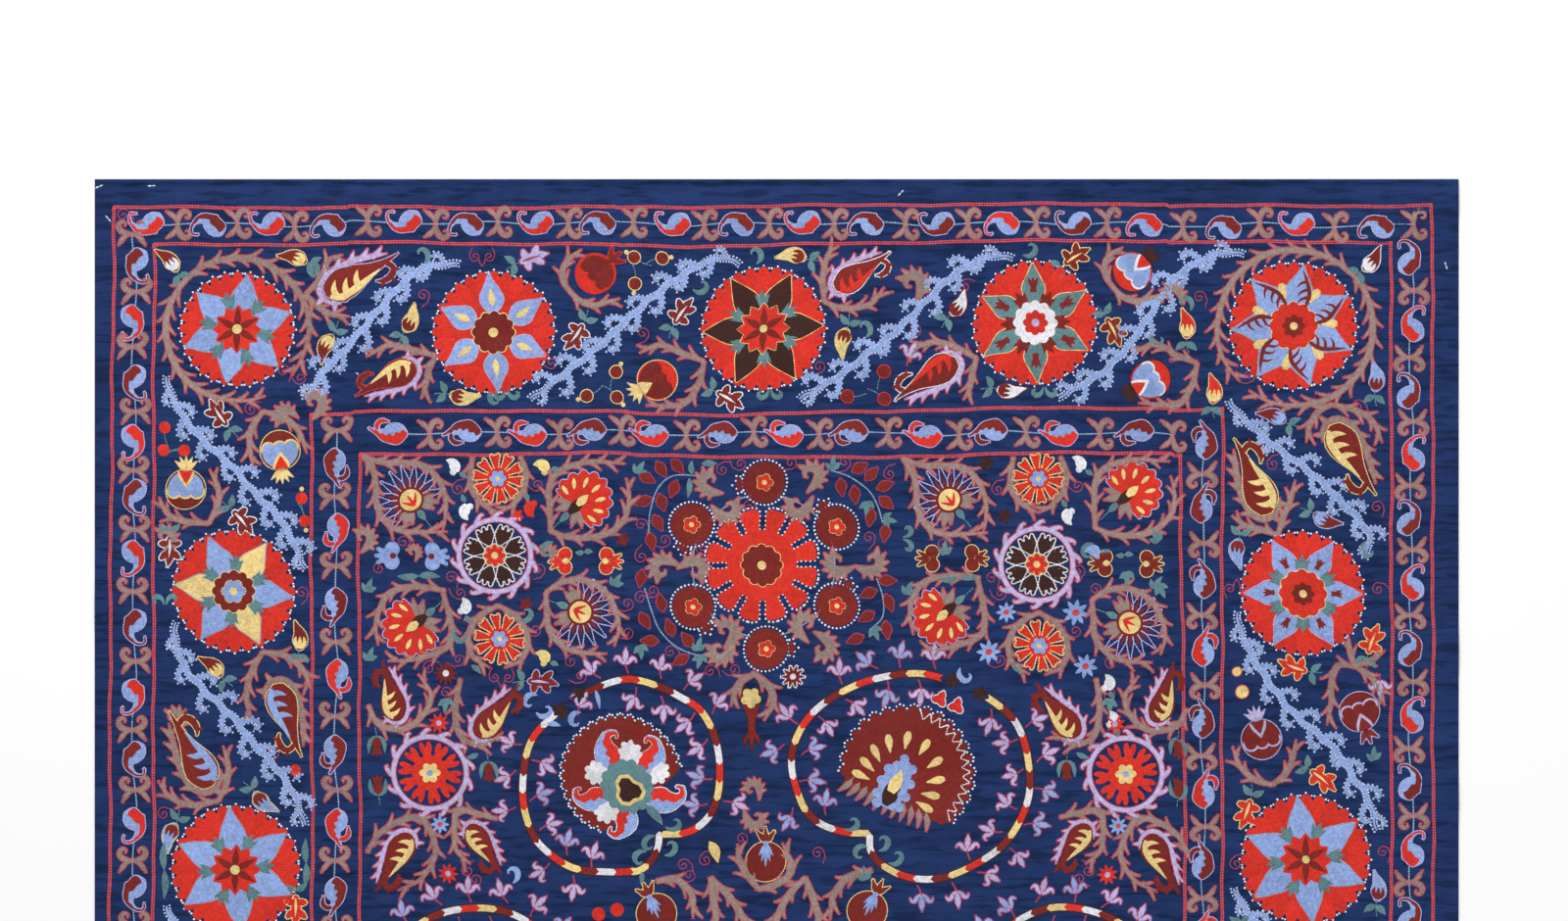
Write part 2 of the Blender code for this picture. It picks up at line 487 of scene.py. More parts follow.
    def disc(self, radius, thread, lobes=0, depth=0.0, kind="round", edge=None, over=0, cut=None):
        """Sew a round fill, plain or with round or pointed lobes. Returns its rim.

        cut is the (direction, distance) of a straight side that takes a slice off it.
        """
        count = max(12, lobes * 4 if lobes else int(radius * 2.0))
        angles = np.linspace(0, math.tau, count, endpoint=False)
        phase = angles * lobes / 2
        if lobes and kind == "round":
            rim = radius - depth * (1 - np.abs(np.cos(phase)))
        elif lobes:
            rim = radius - depth * (1 - np.abs((phase / math.pi % 1.0) * 2 - 1))
        else:
            rim = np.full(count, radius)
        if cut:
            towards = np.maximum(np.cos(angles - math.radians(cut[0])), 1e-3)
            rim = np.minimum(rim, cut[1] / towards)
        inner = 0.2
        rings = max(3, int(radius / 12) + 2)
        share = np.linspace(0, 1, rings)
        share = np.append(share[:-1], [0.96, 1.0]) if rings > 3 else share
        reach = inner + (rim[:, None] - inner) * share[None]
        ray = np.column_stack([np.cos(angles), np.sin(angles)])
        points = ray[:, None] * reach[..., None]
        crown = np.clip((1 - share) * 6, 0, 1)[None] * np.ones((count, 1))
        heights = over * STEP_UP + FILL_EDGE + (FILL_CROWN - FILL_EDGE) * crown
        turns = angles[:, None] * reach
        uvs = np.stack([turns, reach], -1)
        self.grid(points, heights, uvs, thread, closed=True, cap=True)
        if edge:
            self.row(ray * (rim[:, None] + 0.5), edge, over, closed=True)
        return ray * rim[:, None]


def warp(points):
    """Metres on the cloth of chart places, with the hand's waver and the panels' slips."""
    x = (points[:, 0] - CHART_LEFT) * ROW + CLOTH_LEFT
    y = (CHART_MIDDLE - points[:, 1]) * ROW + (CLOTH_HEAD + CLOTH_FOOT) / 2
    x = x + WAVER * np.sin(y * 23.0 + 1.3) + 0.6 * WAVER * np.sin(y * 61.0 + x * 17.0)
    y = y + WAVER * np.sin(x * 19.0 + 0.4) + 0.6 * WAVER * np.sin(x * 53.0 - y * 11.0)
    panel = np.sum([x > seam_x(seam, y) for seam in SEAMS], axis=0)
    slips = np.asarray(PANEL_SLIPS) * ROW
    return x + slips[panel, 0], y - slips[panel, 1]


def node(tree, kind, inputs=None, **settings):
    """Add a node, set its options, and link or fill its inputs by name or number."""
    made = tree.nodes.new(kind)
    for key, value in settings.items():
        setattr(made, key, value)
    for key, value in (inputs or {}).items():
        if isinstance(value, bpy.types.NodeSocket):
            tree.links.new(value, made.inputs[key])
        else:
            made.inputs[key].default_value = value
    return made


def math_node(tree, operation, first, second=0.0, clamp=False):
    """One step of arithmetic; returns its output."""
    inputs = {0: first, 1: second}
    return node(tree, "ShaderNodeMath", inputs, operation=operation, use_clamp=clamp).outputs[0]


def compared(tree, inputs, kind, operation):
    """A yes or no from two values; returns its output."""
    return node(tree, "FunctionNodeCompare", inputs, data_type=kind, operation=operation).outputs[0]


def centred(tree, value, strength):
    """A value from 0 to 1 set about zero, times its strength; returns its output."""
    return math_node(tree, "MULTIPLY", math_node(tree, "SUBTRACT", value, 0.5), strength)


def new_group(name, kind, sockets):
    """A node group with its sockets: (name, direction, type, default)."""
    tree = bpy.data.node_groups.new(name, kind)
    for label, direction, socket_type, default in sockets:
        socket = tree.interface.new_socket(label, in_out=direction, socket_type="NodeSocket" + socket_type)
        if default is not None:
            socket.default_value = default
    return tree, tree.nodes.new("NodeGroupInput"), tree.nodes.new("NodeGroupOutput")


def stitch_mapped(tree, mesh):
    """Map a stitch's foot to the groove between two rows of a fill, and its top to a row's crown, so that its
    foot takes the painted groove shade as well as the bump.
    """
    place = node(tree, "GeometryNodeInputPosition").outputs[0]
    height = node(tree, "ShaderNodeSeparateXYZ", {0: place}).outputs[2]
    half_stitch = {0: FILL_STITCH_LENGTH / 2, 1: FILL_ROW_WIDTH / 2}
    crown = node(tree, "ShaderNodeCombineXYZ", half_stitch).outputs[0]
    mapped = node(tree, "ShaderNodeVectorMath", {0: crown, "Scale": height}, operation="SCALE")
    return node(
        tree,
        "GeometryNodeStoreNamedAttribute",
        {"Geometry": mesh.outputs[0], "Name": "stitch_map", "Value": mapped.outputs[0]},
        data_type="FLOAT2",
        domain="CORNER",
    )


def raised_loop(tree, corners, size):
    """A low cone for one stitch or knot, mapped as a thread's row and scaled to its size."""
    cone = {"Vertices": corners, "Radius Top": 0.0, "Radius Bottom": 1.0, "Depth": 1.0}
    mapped = stitch_mapped(tree, node(tree, "GeometryNodeMeshCone", cone, fill_type="NONE"))
    return node(tree, "GeometryNodeTransform", {"Geometry": mapped.outputs[0], "Scale": size.outputs[0]})


def sewing_tree():
    """Geometry nodes: chain stitches on a mesh's loose edges, knots on its loose points."""
    sockets = (
        ("Geometry", "INPUT", "Geometry", None),
        ("Stitch Length", "INPUT", "Float", STITCH_LENGTH),
        ("Stitch Width", "INPUT", "Float", STITCH_WIDTH),
        ("Stitch Height", "INPUT", "Float", STITCH_HEIGHT),
        ("Knot Width", "INPUT", "Float", KNOT_WIDTH),
        ("Knot Height", "INPUT", "Float", KNOT_HEIGHT),
        ("Thread", "INPUT", "Material", None),
        ("Geometry", "OUTPUT", "Geometry", None),
    )
    tree, given, out = new_group("chain_stitches_and_knots", "GeometryNodeTree", sockets)
    work = given.outputs["Geometry"]
    area = node(tree, "GeometryNodeInputMeshFaceArea").outputs[0]
    real_face = compared(tree, {0: area, 1: 1e-9}, "FLOAT", "GREATER_THAN")
    fills = node(
        tree,
        "GeometryNodeSeparateGeometry",
        {"Geometry": work, "Selection": real_face},
        domain="FACE",
    )
    faces_by_edge = node(tree, "GeometryNodeInputMeshEdgeNeighbors").outputs[0]
    loose_edge = compared(tree, {2: faces_by_edge, 3: 0}, "INT", "EQUAL")
    neighbours = node(tree, "GeometryNodeInputMeshVertexNeighbors").outputs[0]
    loose_point = compared(tree, {2: neighbours, 3: 0}, "INT", "EQUAL")
    curves = node(tree, "GeometryNodeMeshToCurve", {"Mesh": work, "Selection": loose_edge})
    even = node(
        tree,
        "GeometryNodeResampleCurve",
        {"Curve": curves.outputs[0], "Length": given.outputs["Stitch Length"]},
        mode="LENGTH",
    )
    reach = {
        label: math_node(tree, "MULTIPLY", given.outputs[label], share)
        for label, share in (("Stitch Length", LOOP_REACH), ("Stitch Width", 0.5), ("Knot Width", 0.5))
    }
    loop_size = node(
        tree,
        "ShaderNodeCombineXYZ",
        {"X": reach["Stitch Length"], "Y": reach["Stitch Width"], "Z": given.outputs["Stitch Height"]},
    )
    loop = raised_loop(tree, 4, loop_size)
    tangent = node(tree, "GeometryNodeInputTangent").outputs[0]
    turn = node(tree, "FunctionNodeAlignRotationToVector", {"Vector": tangent}, axis="X", pivot_axis="Z")
    uneven = {2: 0.88, 3: 1.12, "Seed": 3}
    uneven_size = node(tree, "FunctionNodeRandomValue", uneven, data_type="FLOAT")
    row_stitches = node(
        tree,
        "GeometryNodeInstanceOnPoints",
        {
            "Points": even.outputs[0],
            "Instance": loop.outputs[0],
            "Rotation": turn.outputs[0],
            "Scale": uneven_size.outputs[1],
        },
    )
    knot_size = node(
        tree,
        "ShaderNodeCombineXYZ",
        {"X": reach["Knot Width"], "Y": reach["Knot Width"], "Z": given.outputs["Knot Height"]},
    )
    bead = raised_loop(tree, 6, knot_size)
    knots = node(
        tree,
        "GeometryNodeInstanceOnPoints",
        {
            "Points": work,
            "Selection": loose_point,
            "Instance": bead.outputs[0],
            "Scale": uneven_size.outputs[1],
        },
    )
    shades = node(tree, "FunctionNodeRandomValue", {2: 0.0, 3: 1.0, "Seed": 7}, data_type="FLOAT")
    stitches = node(tree, "GeometryNodeJoinGeometry")
    tree.links.new(row_stitches.outputs[0], stitches.inputs[0])
    tree.links.new(knots.outputs[0], stitches.inputs[0])
    dyed = node(
        tree,
        "GeometryNodeStoreNamedAttribute",
        {"Geometry": stitches.outputs[0], "Name": "tint", "Value": shades.outputs[1]},
        data_type="FLOAT",
        domain="INSTANCE",
    )
    joined = node(tree, "GeometryNodeJoinGeometry")
    tree.links.new(fills.outputs[0], joined.inputs[0])
    tree.links.new(dyed.outputs[0], joined.inputs[0])
    real = node(tree, "GeometryNodeRealizeInstances", {"Geometry": joined.outputs[0]})
    smooth = node(tree, "GeometryNodeSetShadeSmooth", {"Geometry": real.outputs[0]})
    worn = node(
        tree,
        "GeometryNodeSetMaterial",
        {"Geometry": smooth.outputs[0], "Material": given.outputs["Thread"]},
    )
    tree.links.new(worn.outputs[0], out.inputs[0])
    return tree


def named_tree(name, build):
    """A node tree by name, built the first time it is asked for."""
    return bpy.data.node_groups.get(name) or build()


def chain_rows_group():
    """Shader group: rows of chain stitch over a fill, from its own map in metres."""
    sockets = (
        ("Vector", "INPUT", "Vector", None),
        ("Row Width", "INPUT", "Float", FILL_ROW_WIDTH),
        ("Stitch Length", "INPUT", "Float", FILL_STITCH_LENGTH),
        ("Height", "OUTPUT", "Float", None),
        ("Shade", "OUTPUT", "Float", None),
    )
    tree, given, out = new_group("chain_rows", "ShaderNodeTree", sockets)
    place = node(tree, "ShaderNodeSeparateXYZ", {0: given.outputs["Vector"]})
    across = math_node(tree, "DIVIDE", place.outputs[1], given.outputs["Row Width"])
    row_number = math_node(tree, "FLOOR", across)
    in_row = math_node(tree, "PINGPONG", across, 0.5)
    offset = math_node(tree, "MULTIPLY", row_number, 0.37)
    along = math_node(tree, "DIVIDE", place.outputs[0], given.outputs["Stitch Length"])
    along = math_node(tree, "ADD", along, offset)
    stitch_number = math_node(tree, "FLOOR", along)
    in_stitch = math_node(tree, "PINGPONG", along, 0.5)
    round_row = math_node(tree, "POWER", math_node(tree, "MULTIPLY", in_row, 2.0), 0.6)
    round_stitch = math_node(tree, "POWER", math_node(tree, "MULTIPLY", in_stitch, 2.0), 0.5)
    height = math_node(tree, "MULTIPLY", round_row, round_stitch)
    cell = node(tree, "ShaderNodeCombineXYZ", {0: row_number, 1: stitch_number})
    shade = node(tree, "ShaderNodeTexWhiteNoise", {0: cell.outputs[0]}, noise_dimensions="2D")
    tree.links.new(height, out.inputs["Height"])
    tree.links.new(shade.outputs["Value"], out.inputs["Shade"])
    return tree


def dye_and_groove_shade_group():
    """Shader group: one thread's colour, uneven by stitch, by motif and by patch, with painted shade
    darkening the grooves between rows and each stitch's foot and a faint painted highlight on the crowns.
    """
    sockets = (
        ("Color", "INPUT", "Color", None),
        ("Stitch Shade", "INPUT", "Float", 0.5),
        ("Height", "INPUT", "Float", 1.0),
        ("Unevenness", "INPUT", "Float", 0.3),
        ("Color", "OUTPUT", "Color", None),
    )
    tree, given, out = new_group("uneven_dye_and_groove_shade", "ShaderNodeTree", sockets)
    place = node(tree, "ShaderNodeTexCoord").outputs["Object"]
    patch = node(tree, "ShaderNodeTexNoise",
        {"Vector": place, "Scale": 190.0, "Detail": 3.0, "Roughness": 0.7})
    faded = node(tree, "ShaderNodeTexNoise", {"Vector": place, "Scale": 7.0, "Detail": 2.0})
    lot = node(tree, "ShaderNodeAttribute", attribute_name="tint").outputs["Fac"]
    stitch = math_node(tree, "SUBTRACT", given.outputs["Stitch Shade"], 0.5)
    patches = centred(tree, patch.outputs["Fac"], 2.6)
    lots = centred(tree, lot, 0.7)
    fading = centred(tree, faded.outputs["Fac"], 0.5)
    total = math_node(tree, "ADD", math_node(tree, "ADD", stitch, patches),
        math_node(tree, "ADD", lots, fading))
    total = math_node(tree, "MULTIPLY", total, given.outputs["Unevenness"])
    value = math_node(tree, "ADD", total, 1.0)
    # Painted shade and highlight: the colour is darkened to 0.70 where a row or stitch sits low and lifted to
    # 1.08 on its crown.
    groove = math_node(tree, "ADD", math_node(tree, "MULTIPLY", given.outputs["Height"], 0.38), 0.70)
    value = math_node(tree, "MULTIPLY", value, groove)
    shaded = node(tree, "ShaderNodeHueSaturation", {"Color": given.outputs["Color"], "Value": value})
    tree.links.new(shaded.outputs[0], out.inputs["Color"])
    return tree


def weave_group():
    """Shader group: plain weave, fine puckers and crosswise streaks of the ground cloth."""
    sockets = (
        ("Vector", "INPUT", "Vector", None),
        ("Pitch", "INPUT", "Float", 0.0011),
        ("Height", "OUTPUT", "Float", None),
        ("Streaks", "OUTPUT", "Float", None),
        ("Puckers", "OUTPUT", "Float", None),
    )
    tree, given, out = new_group("plain_weave", "ShaderNodeTree", sockets)
    place = node(tree, "ShaderNodeSeparateXYZ", {0: given.outputs["Vector"]})
    across = math_node(tree, "DIVIDE", place.outputs[0], given.outputs["Pitch"])
    down = math_node(tree, "DIVIDE", place.outputs[1], given.outputs["Pitch"])
    warp_wave = math_node(tree, "SINE", math_node(tree, "MULTIPLY", across, math.tau))
    weft_wave = math_node(tree, "SINE", math_node(tree, "MULTIPLY", down, math.tau))
    weave = math_node(tree, "MULTIPLY", warp_wave, weft_wave)
    long_places = node(tree, "ShaderNodeMapping",
        {"Vector": given.outputs["Vector"], "Scale": (2.4, 34.0, 1.0)})
    streaks = node(tree, "ShaderNodeTexNoise",
        {"Vector": long_places.outputs[0], "Scale": 1.0, "Detail": 4.0})
    short_places = node(tree, "ShaderNodeMapping",
        {"Vector": given.outputs["Vector"], "Scale": (17.0, 104.0, 1.0)})
    puckers = node(
        tree, "ShaderNodeTexNoise", {"Vector": short_places.outputs[0], "Scale": 1.0, "Detail": 2.0,
         "Distortion": 0.4}
    )
    sharp = math_node(tree, "SUBTRACT", 0.50, puckers.outputs["Fac"])
    sharp = math_node(tree, "MULTIPLY", sharp, 7.5, clamp=True)
    tree.links.new(weave, out.inputs["Height"])
    tree.links.new(streaks.outputs["Fac"], out.inputs["Streaks"])
    tree.links.new(sharp, out.inputs["Puckers"])
    return tree


def dull_material(name, roughness, specular):
    """A material with little gloss; returns it with its tree and its shader."""
    material = bpy.data.materials.new(name)
    material.use_nodes = True
    shader = material.node_tree.nodes["Principled BSDF"]
    shader.inputs["Roughness"].default_value = roughness
    shader.inputs["Specular IOR Level"].default_value = specular
    return material, material.node_tree, shader


def silk(thread):
    """Chain-stitched silk of one thread colour."""
    name = "silk_" + thread
    if name in bpy.data.materials:
        return bpy.data.materials[name]
    settings = bpy.context.scene.suzani_threads
    material, tree, shader = dull_material(name, 0.62, 0.18)
    stitch_map = node(tree, "ShaderNodeUVMap", uv_map="stitch_map").outputs[0]
    rows = node(tree, "ShaderNodeGroup", node_tree=named_tree("chain_rows", chain_rows_group))
    tree.links.new(stitch_map, rows.inputs["Vector"])
    dye_and_groove_shade = node(tree, "ShaderNodeGroup", node_tree=named_tree("uneven_dye_and_groove_shade", dye_and_groove_shade_group))
    dye_and_groove_shade.inputs["Color"].default_value = (*getattr(settings, thread), 1.0)
    # The rows' height also paints shade into the colour of their grooves.
    tree.links.new(rows.outputs["Height"], dye_and_groove_shade.inputs["Height"])
    tree.links.new(rows.outputs["Shade"], dye_and_groove_shade.inputs["Stitch Shade"])
    bump = node(tree, "ShaderNodeBump", {"Strength": 0.8, "Distance": 0.0005,
        "Height": rows.outputs["Height"]})
    tree.links.new(dye_and_groove_shade.outputs["Color"], shader.inputs["Base Color"])
    tree.links.new(bump.outputs[0], shader.inputs["Normal"])
    shader.inputs["Sheen Weight"].default_value = THREADS[thread][1]
    shader.inputs["Sheen Roughness"].default_value = 0.5
    return material


def indigo_cotton():
    """Dark blue plain-weave cotton, puckered and a little faded, with painted shade darkening the puckers'
    creases.
    """
    name = "puckered_indigo"
    if name in bpy.data.materials:
        return bpy.data.materials[name]
    settings = bpy.context.scene.suzani_cloth
    material, tree, shader = dull_material(name, 0.9, 0.08)
    place = node(tree, "ShaderNodeTexCoord").outputs["Object"]
    weave = node(tree, "ShaderNodeGroup", node_tree=named_tree("plain_weave", weave_group))
    tree.links.new(place, weave.inputs["Vector"])
    weave.inputs["Pitch"].default_value = settings.weave_pitch
    mottle = node(tree, "ShaderNodeTexNoise",
        {"Vector": place, "Scale": 34.0, "Detail": 5.0, "Roughness": 0.65})
    streaks = centred(tree, weave.outputs["Streaks"], 1.0)
    mottling = centred(tree, mottle.outputs["Fac"], 0.7)
    value = math_node(tree, "ADD", math_node(tree, "ADD", streaks, mottling), 1.0)
    # Painted shade: the colour is darkened along the puckers as well as bumped there.
    dark = math_node(tree, "MULTIPLY", weave.outputs["Puckers"], -0.38)
    value = math_node(tree, "MULTIPLY", value, math_node(tree, "ADD", dark, 1.0))
    colour = node(tree, "ShaderNodeHueSaturation", {"Color": (*settings.ground, 1.0), "Value": value})
    tree.links.new(colour.outputs[0], shader.inputs["Base Color"])
    depth = math_node(tree, "MULTIPLY", weave.outputs["Puckers"], -1.0)
    pucker = node(tree, "ShaderNodeBump", {"Strength": 0.6, "Distance": 0.0010, "Height": depth})
    fine = node(
        tree,
        "ShaderNodeBump",
        {"Strength": 0.35, "Distance": 0.00012, "Height": weave.outputs["Height"],
         "Normal": pucker.outputs[0]},
    )
    tree.links.new(fine.outputs[0], shader.inputs["Normal"])
    return material


def pale_floor():
    """Plain matt white floor."""
    material, _, shader = dull_material("pale_floor", 0.9, 0.1)
    shader.inputs["Base Color"].default_value = (0.93, 0.93, 0.93, 1.0)
    return material


def link(name, mesh):
    """Put a mesh in the scene as an object at the origin."""
    made = bpy.data.objects.new(name, mesh)
    bpy.context.scene.collection.objects.link(made)
    return made


def laid_cloth():
    """A search tree over the faces of the panels laid so far, or None."""
    points, faces = [], []
    for name in PANELS:
        piece = bpy.data.objects.get(name + "_cloth")
        if piece:
            first = len(points)
            points += [vertex.co[:] for vertex in piece.data.vertices]
            faces += [[first + corner for corner in face.vertices] for face in piece.data.polygons]
    return BVHTree.FromPolygons(points, faces) if faces else None


def heights_on(cloth, x, y):
    """Height of the laid cloth's own faces at each point, so that no stitch sinks between its cells."""
    heights = cloth_top(x, y)
    if cloth:
        for number, place in enumerate(zip(x.tolist(), y.tolist())):
            hit = cloth.ray_cast((*place, PROBE_HEIGHT), (0.0, 0.0, -1.0))[0]
            heights[number] = hit.z if hit else heights[number]
    return heights


def skein_mesh(name, skein, mirrored, cloth):
    """One thread's sewing as a mesh on the cloth, and again upside down in the lower half."""
    chart = np.vstack(skein.points)
    heights = np.concatenate(skein.heights)
    uvs = np.vstack(skein.uvs)
    tints = np.concatenate(skein.tints)
    quads = np.vstack(skein.quads) if skein.quads else np.zeros((0, 4), int)
    caps = np.vstack(skein.caps) if skein.caps else np.zeros((0, 3), int)
    edges = np.vstack(skein.edges) if skein.edges else np.zeros((0, 2), int)
    if mirrored:
        lower = np.column_stack([chart[:, 0], 2 * CHART_MIDDLE - chart[:, 1]])
        count = len(chart)
        chart = np.vstack([chart, lower])
        heights, tints = np.tile(heights, 2), np.tile(tints, 2)
        uvs = np.tile(uvs, (2, 1))
        quads, caps, edges = (np.vstack([part, part + count]) for part in (quads, caps, edges))
    x, y = warp(chart)
    points = np.column_stack([x, y, heights_on(cloth, x, y) + heights])
    faces = []
    for part in (quads, caps):
        corners = points[part][..., :2]
        ahead = np.roll(corners, -1, axis=1)
        area = (corners[..., 0] * ahead[..., 1] - ahead[..., 0] * corners[..., 1]).sum(axis=1)
        facing = np.where((area < 0)[:, None], part[:, ::-1], part)
        faces += facing.tolist()
    mesh = bpy.data.meshes.new(name)
    mesh.from_pydata(points.tolist(), edges.tolist(), faces)
    if faces:
        layer = mesh.uv_layers.new(name="stitch_map")
        corners = np.concatenate([np.asarray(face) for face in faces])
        layer.uv.foreach_set("vector", uvs[corners].ravel())
    tint = mesh.attributes.new("tint", "FLOAT", "POINT")
    tint.data.foreach_set("value", tints)
    mesh.update()
    return mesh


def sew(work, skeins, mirrored=True, widening=1.0):
    """Make one finished piece of each thread of a work, with its stitches and knots."""
    settings = bpy.context.scene.suzani_threads
    tree = named_tree("chain_stitches_and_knots", sewing_tree)
    sockets = {item.name: item.identifier for item in tree.interface.items_tree if item.in_out == "INPUT"}
    cloth = laid_cloth()
    for thread, skein in skeins.items():
        name = work + "_" + thread
        piece = link(name, skein_mesh(name + "_drawn", skein, mirrored, cloth))
        sewing = piece.modifiers.new("sewing", "NODES")
        sewing.node_group = tree
        sewing[sockets["Stitch Length"]] = settings.stitch_length
        sewing[sockets["Stitch Width"]] = settings.stitch_width * THREADS[thread][2] * widening
        sewing[sockets["Stitch Height"]] = STITCH_HEIGHT
        sewing[sockets["Knot Width"]] = settings.knot_width
        sewing[sockets["Knot Height"]] = KNOT_HEIGHT
        sewing[sockets["Thread"]] = silk(thread)
        sewn = piece.evaluated_get(bpy.context.evaluated_depsgraph_get())
        mesh = bpy.data.meshes.new_from_object(sewn)
        drawn = piece.data
        piece.modifiers.remove(sewing)
        piece.data = mesh
        mesh.name = name
        bpy.data.meshes.remove(drawn)
        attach(piece, "root")


def new_needle(seed):
    """A needle at the chart's own origin, with empty skeins and its own seeded unevenness."""
    return Needle({}, random.Random(seed))


BORDER_LINES = (
    # (x, y) corners and points on the way, for the upper half of the cloth
    ((112, 1030), (113, 600), (115, 400), (117, 212), (300, 212), (500, 214), (900, 210), (1200, 209),
     (1461, 209)),
    ((157, 1030), (157, 700), (157, 400), (158, 250), (400, 249), (700, 252), (1000, 247), (1300, 246),
     (1419, 246)),
    ((319, 1030), (319, 800), (318, 600), (318, 423), (500, 420), (750, 424), (1000, 418), (1248, 417)),
    ((368, 1030), (367, 700), (366, 600), (367, 466), (600, 464), (850, 468), (1100, 463), (1204, 463)),
)
BORDER_ENDS = (
    # the same four lines from their last corner down to the middle of the cloth
    ((1461, 209), (1462, 400), (1462, 700), (1463, 1030)),
    ((1419, 246), (1420, 500), (1420, 800), (1420, 1030)),
    ((1248, 417), (1247, 600), (1247, 800), (1248, 1030)),
    ((1204, 463), (1206, 600), (1209, 800), (1210, 1030)),
)

CHAINS = (
    # The chain's own line, its turn, pronged tails, and its botehs' kinds; where they lie along the line;
    # where the leaf pairs spring. Top, left and right side of the outer border, then of the inner one.
    (229, 0, False, "sMsMsMsMsMsMmSmSMsM",
     (150, 213, 274, 336, 413, 476, 548, 611, 687, 752, 820, 884, 956, 1023, 1096, 1168, 1249, 1324, 1404),
     (182, 243, 302, 376, 445, 509, 581, 647, 719, 786, 852, 924, 988, 1058, 1130, 1207, 1286, 1362, 1442)),
    (137, -90, False, "MsMsMsMsMsMs",
     (271, 329, 391, 452, 508, 570, 640, 711, 775, 843, 912, 978),
     (239, 298, 354, 421, 481, 541, 604, 675, 745, 807, 879, 945, 1012)),
    (1440, 90, False, "MsMsMsMsMsMs",
     (262, 330, 398, 461, 527, 594, 661, 729, 797, 865, 933, 1000),
     (296, 364, 429, 494, 560, 627, 695, 763, 831, 899, 967)),
    (443, 0, True, "sMsMsMsMsMsM",
     (399, 474, 541, 602, 665, 735, 803, 869, 944, 1011, 1083, 1160),
     (438, 507, 571, 634, 700, 769, 836, 906, 978, 1047, 1122, 1196)),
    (343, -90, True, "MsmSmSmS",
     (474, 541, 617, 690, 767, 842, 912, 985),
     (439, 507, 578, 656, 731, 806, 878, 949, 1020)),
    (1228, 90, True, "MmMsMsMsM",
     (451, 516, 593, 662, 735, 807, 880, 952, 1020),
     (483, 554, 627, 698, 770, 843, 916, 986)),
)
BOTEH_KINDS = {
    # kind: (thread, mirrored)
    "s": ("scarlet", False), "S": ("scarlet", True), "m": ("maroon", False), "M": ("maroon", True),
}

ROSETTES = (
    # x, y, radius, petal shape, petal thread, inner thread, petals, start, leaf thread, leaf reach
    (242.5, 336, 58, "pointed", "sky", None, 6, -79, "sage", 38),
    (504, 340, 62, "drop", "sky", "cream", 6, -95, None, 0),
    (779, 336, 63, "pointed", "brown", "cream", 6, -63, "sage", 38),
    (1056, 331, 63, "tulip", "sage", "maroon", 6, -93, "maroon", 34),
    (1319.5, 331.5, 65, "feather", "sky", "maroon", 7, -81, "cream", 38),
    (239, 603, 62, "pointed", "sky", "cream", 6, -115, "sage", 36),
    (240.7, 887, 65, "pointed", "sky", None, 6, -96, "sage", 38),
    (1329.5, 604.5, 63, "drop", "sky", "maroon", 6, -60, "sage", 38),
    (1332, 876, 66, "pointed", "sky", None, 6, -98, "sage", 39),
)
ROSETTE_HEARTS = (
    # thread, lobes, radius, shape, outline, then the inner flower's thread, petals and radius, dot and radius
    ("scarlet", 12, 25, "point", None, "maroon", 6, 23, "cream", 5),
    ("maroon", 12, 22, "round", "cream", None, 0, 0, "cream", 5),
    ("scarlet", 12, 26, "point", "cream", "maroon", 6, 23, "cream", 4),
    ("white", 12, 23, "round", None, "scarlet", 8, 13, "lilac", 4),
    ("scarlet", 12, 25, "round", "cream", "maroon", 8, 12, "cream", 4),
    ("maroon", 12, 22, "round", "cream", "sky", 6, 12, "cream", 4),
    ("scarlet", 12, 26, "point", None, "maroon", 6, 23, "cream", 5),
    ("scarlet", 12, 25, "round", "cream", "maroon", 8, 12, "cream", 4),
    ("scarlet", 12, 27, "point", None, "maroon", 6, 24, "cream", 4),
)

# One shoot of a feather, in squares from its stem.
SHOOT = ((0, -1), (3.5, -6.5), (8.5, -11.5), (14.5, -12.5), (17, -8.5), (13.5, -6))
FEATHERS = (
    # points of each stem, from its bare end to the other
    ((469, 270), (434, 274), (412, 290), (392, 312), (372, 335), (350, 360), (330, 381), (312, 408)),
    ((755, 270), (738, 263), (719, 268), (702, 277), (674, 296), (646, 322), (624, 344), (595, 369),
     (542, 409)),
    ((1033, 265), (1010, 262), (988, 272), (962, 290), (940, 312), (915, 338), (890, 358), (862, 382),
     (816, 408)),
    ((1269, 259), (1244, 257), (1225, 266), (1199, 282), (1180, 311), (1161, 340), (1141, 365), (1122, 384),
     (1080, 407)),
    ((171, 385), (176, 404), (190, 430), (213, 456), (239, 478), (261, 504), (283, 526), (302, 556),
     (312, 580)),
    ((179, 636), (178, 655), (190, 684), (212, 708), (238, 732), (260, 758), (282, 782), (300, 812),
     (311, 842)),
    ((171, 925), (180, 944), (196, 966), (214, 990), (235, 1016)),
    ((1254, 409), (1266, 424), (1284, 440), (1304, 458), (1328, 475), (1350, 492), (1372, 514),
     (1390, 532), (1399, 550), (1392, 568)),
    ((1263, 624), (1266, 645), (1276, 668), (1292, 692), (1308, 712), (1326, 732), (1349, 751),
     (1368, 770), (1382, 792), (1395, 812), (1404, 846)),
    ((1260, 906), (1272, 928), (1290, 952), (1308, 980), (1328, 1014)),
)

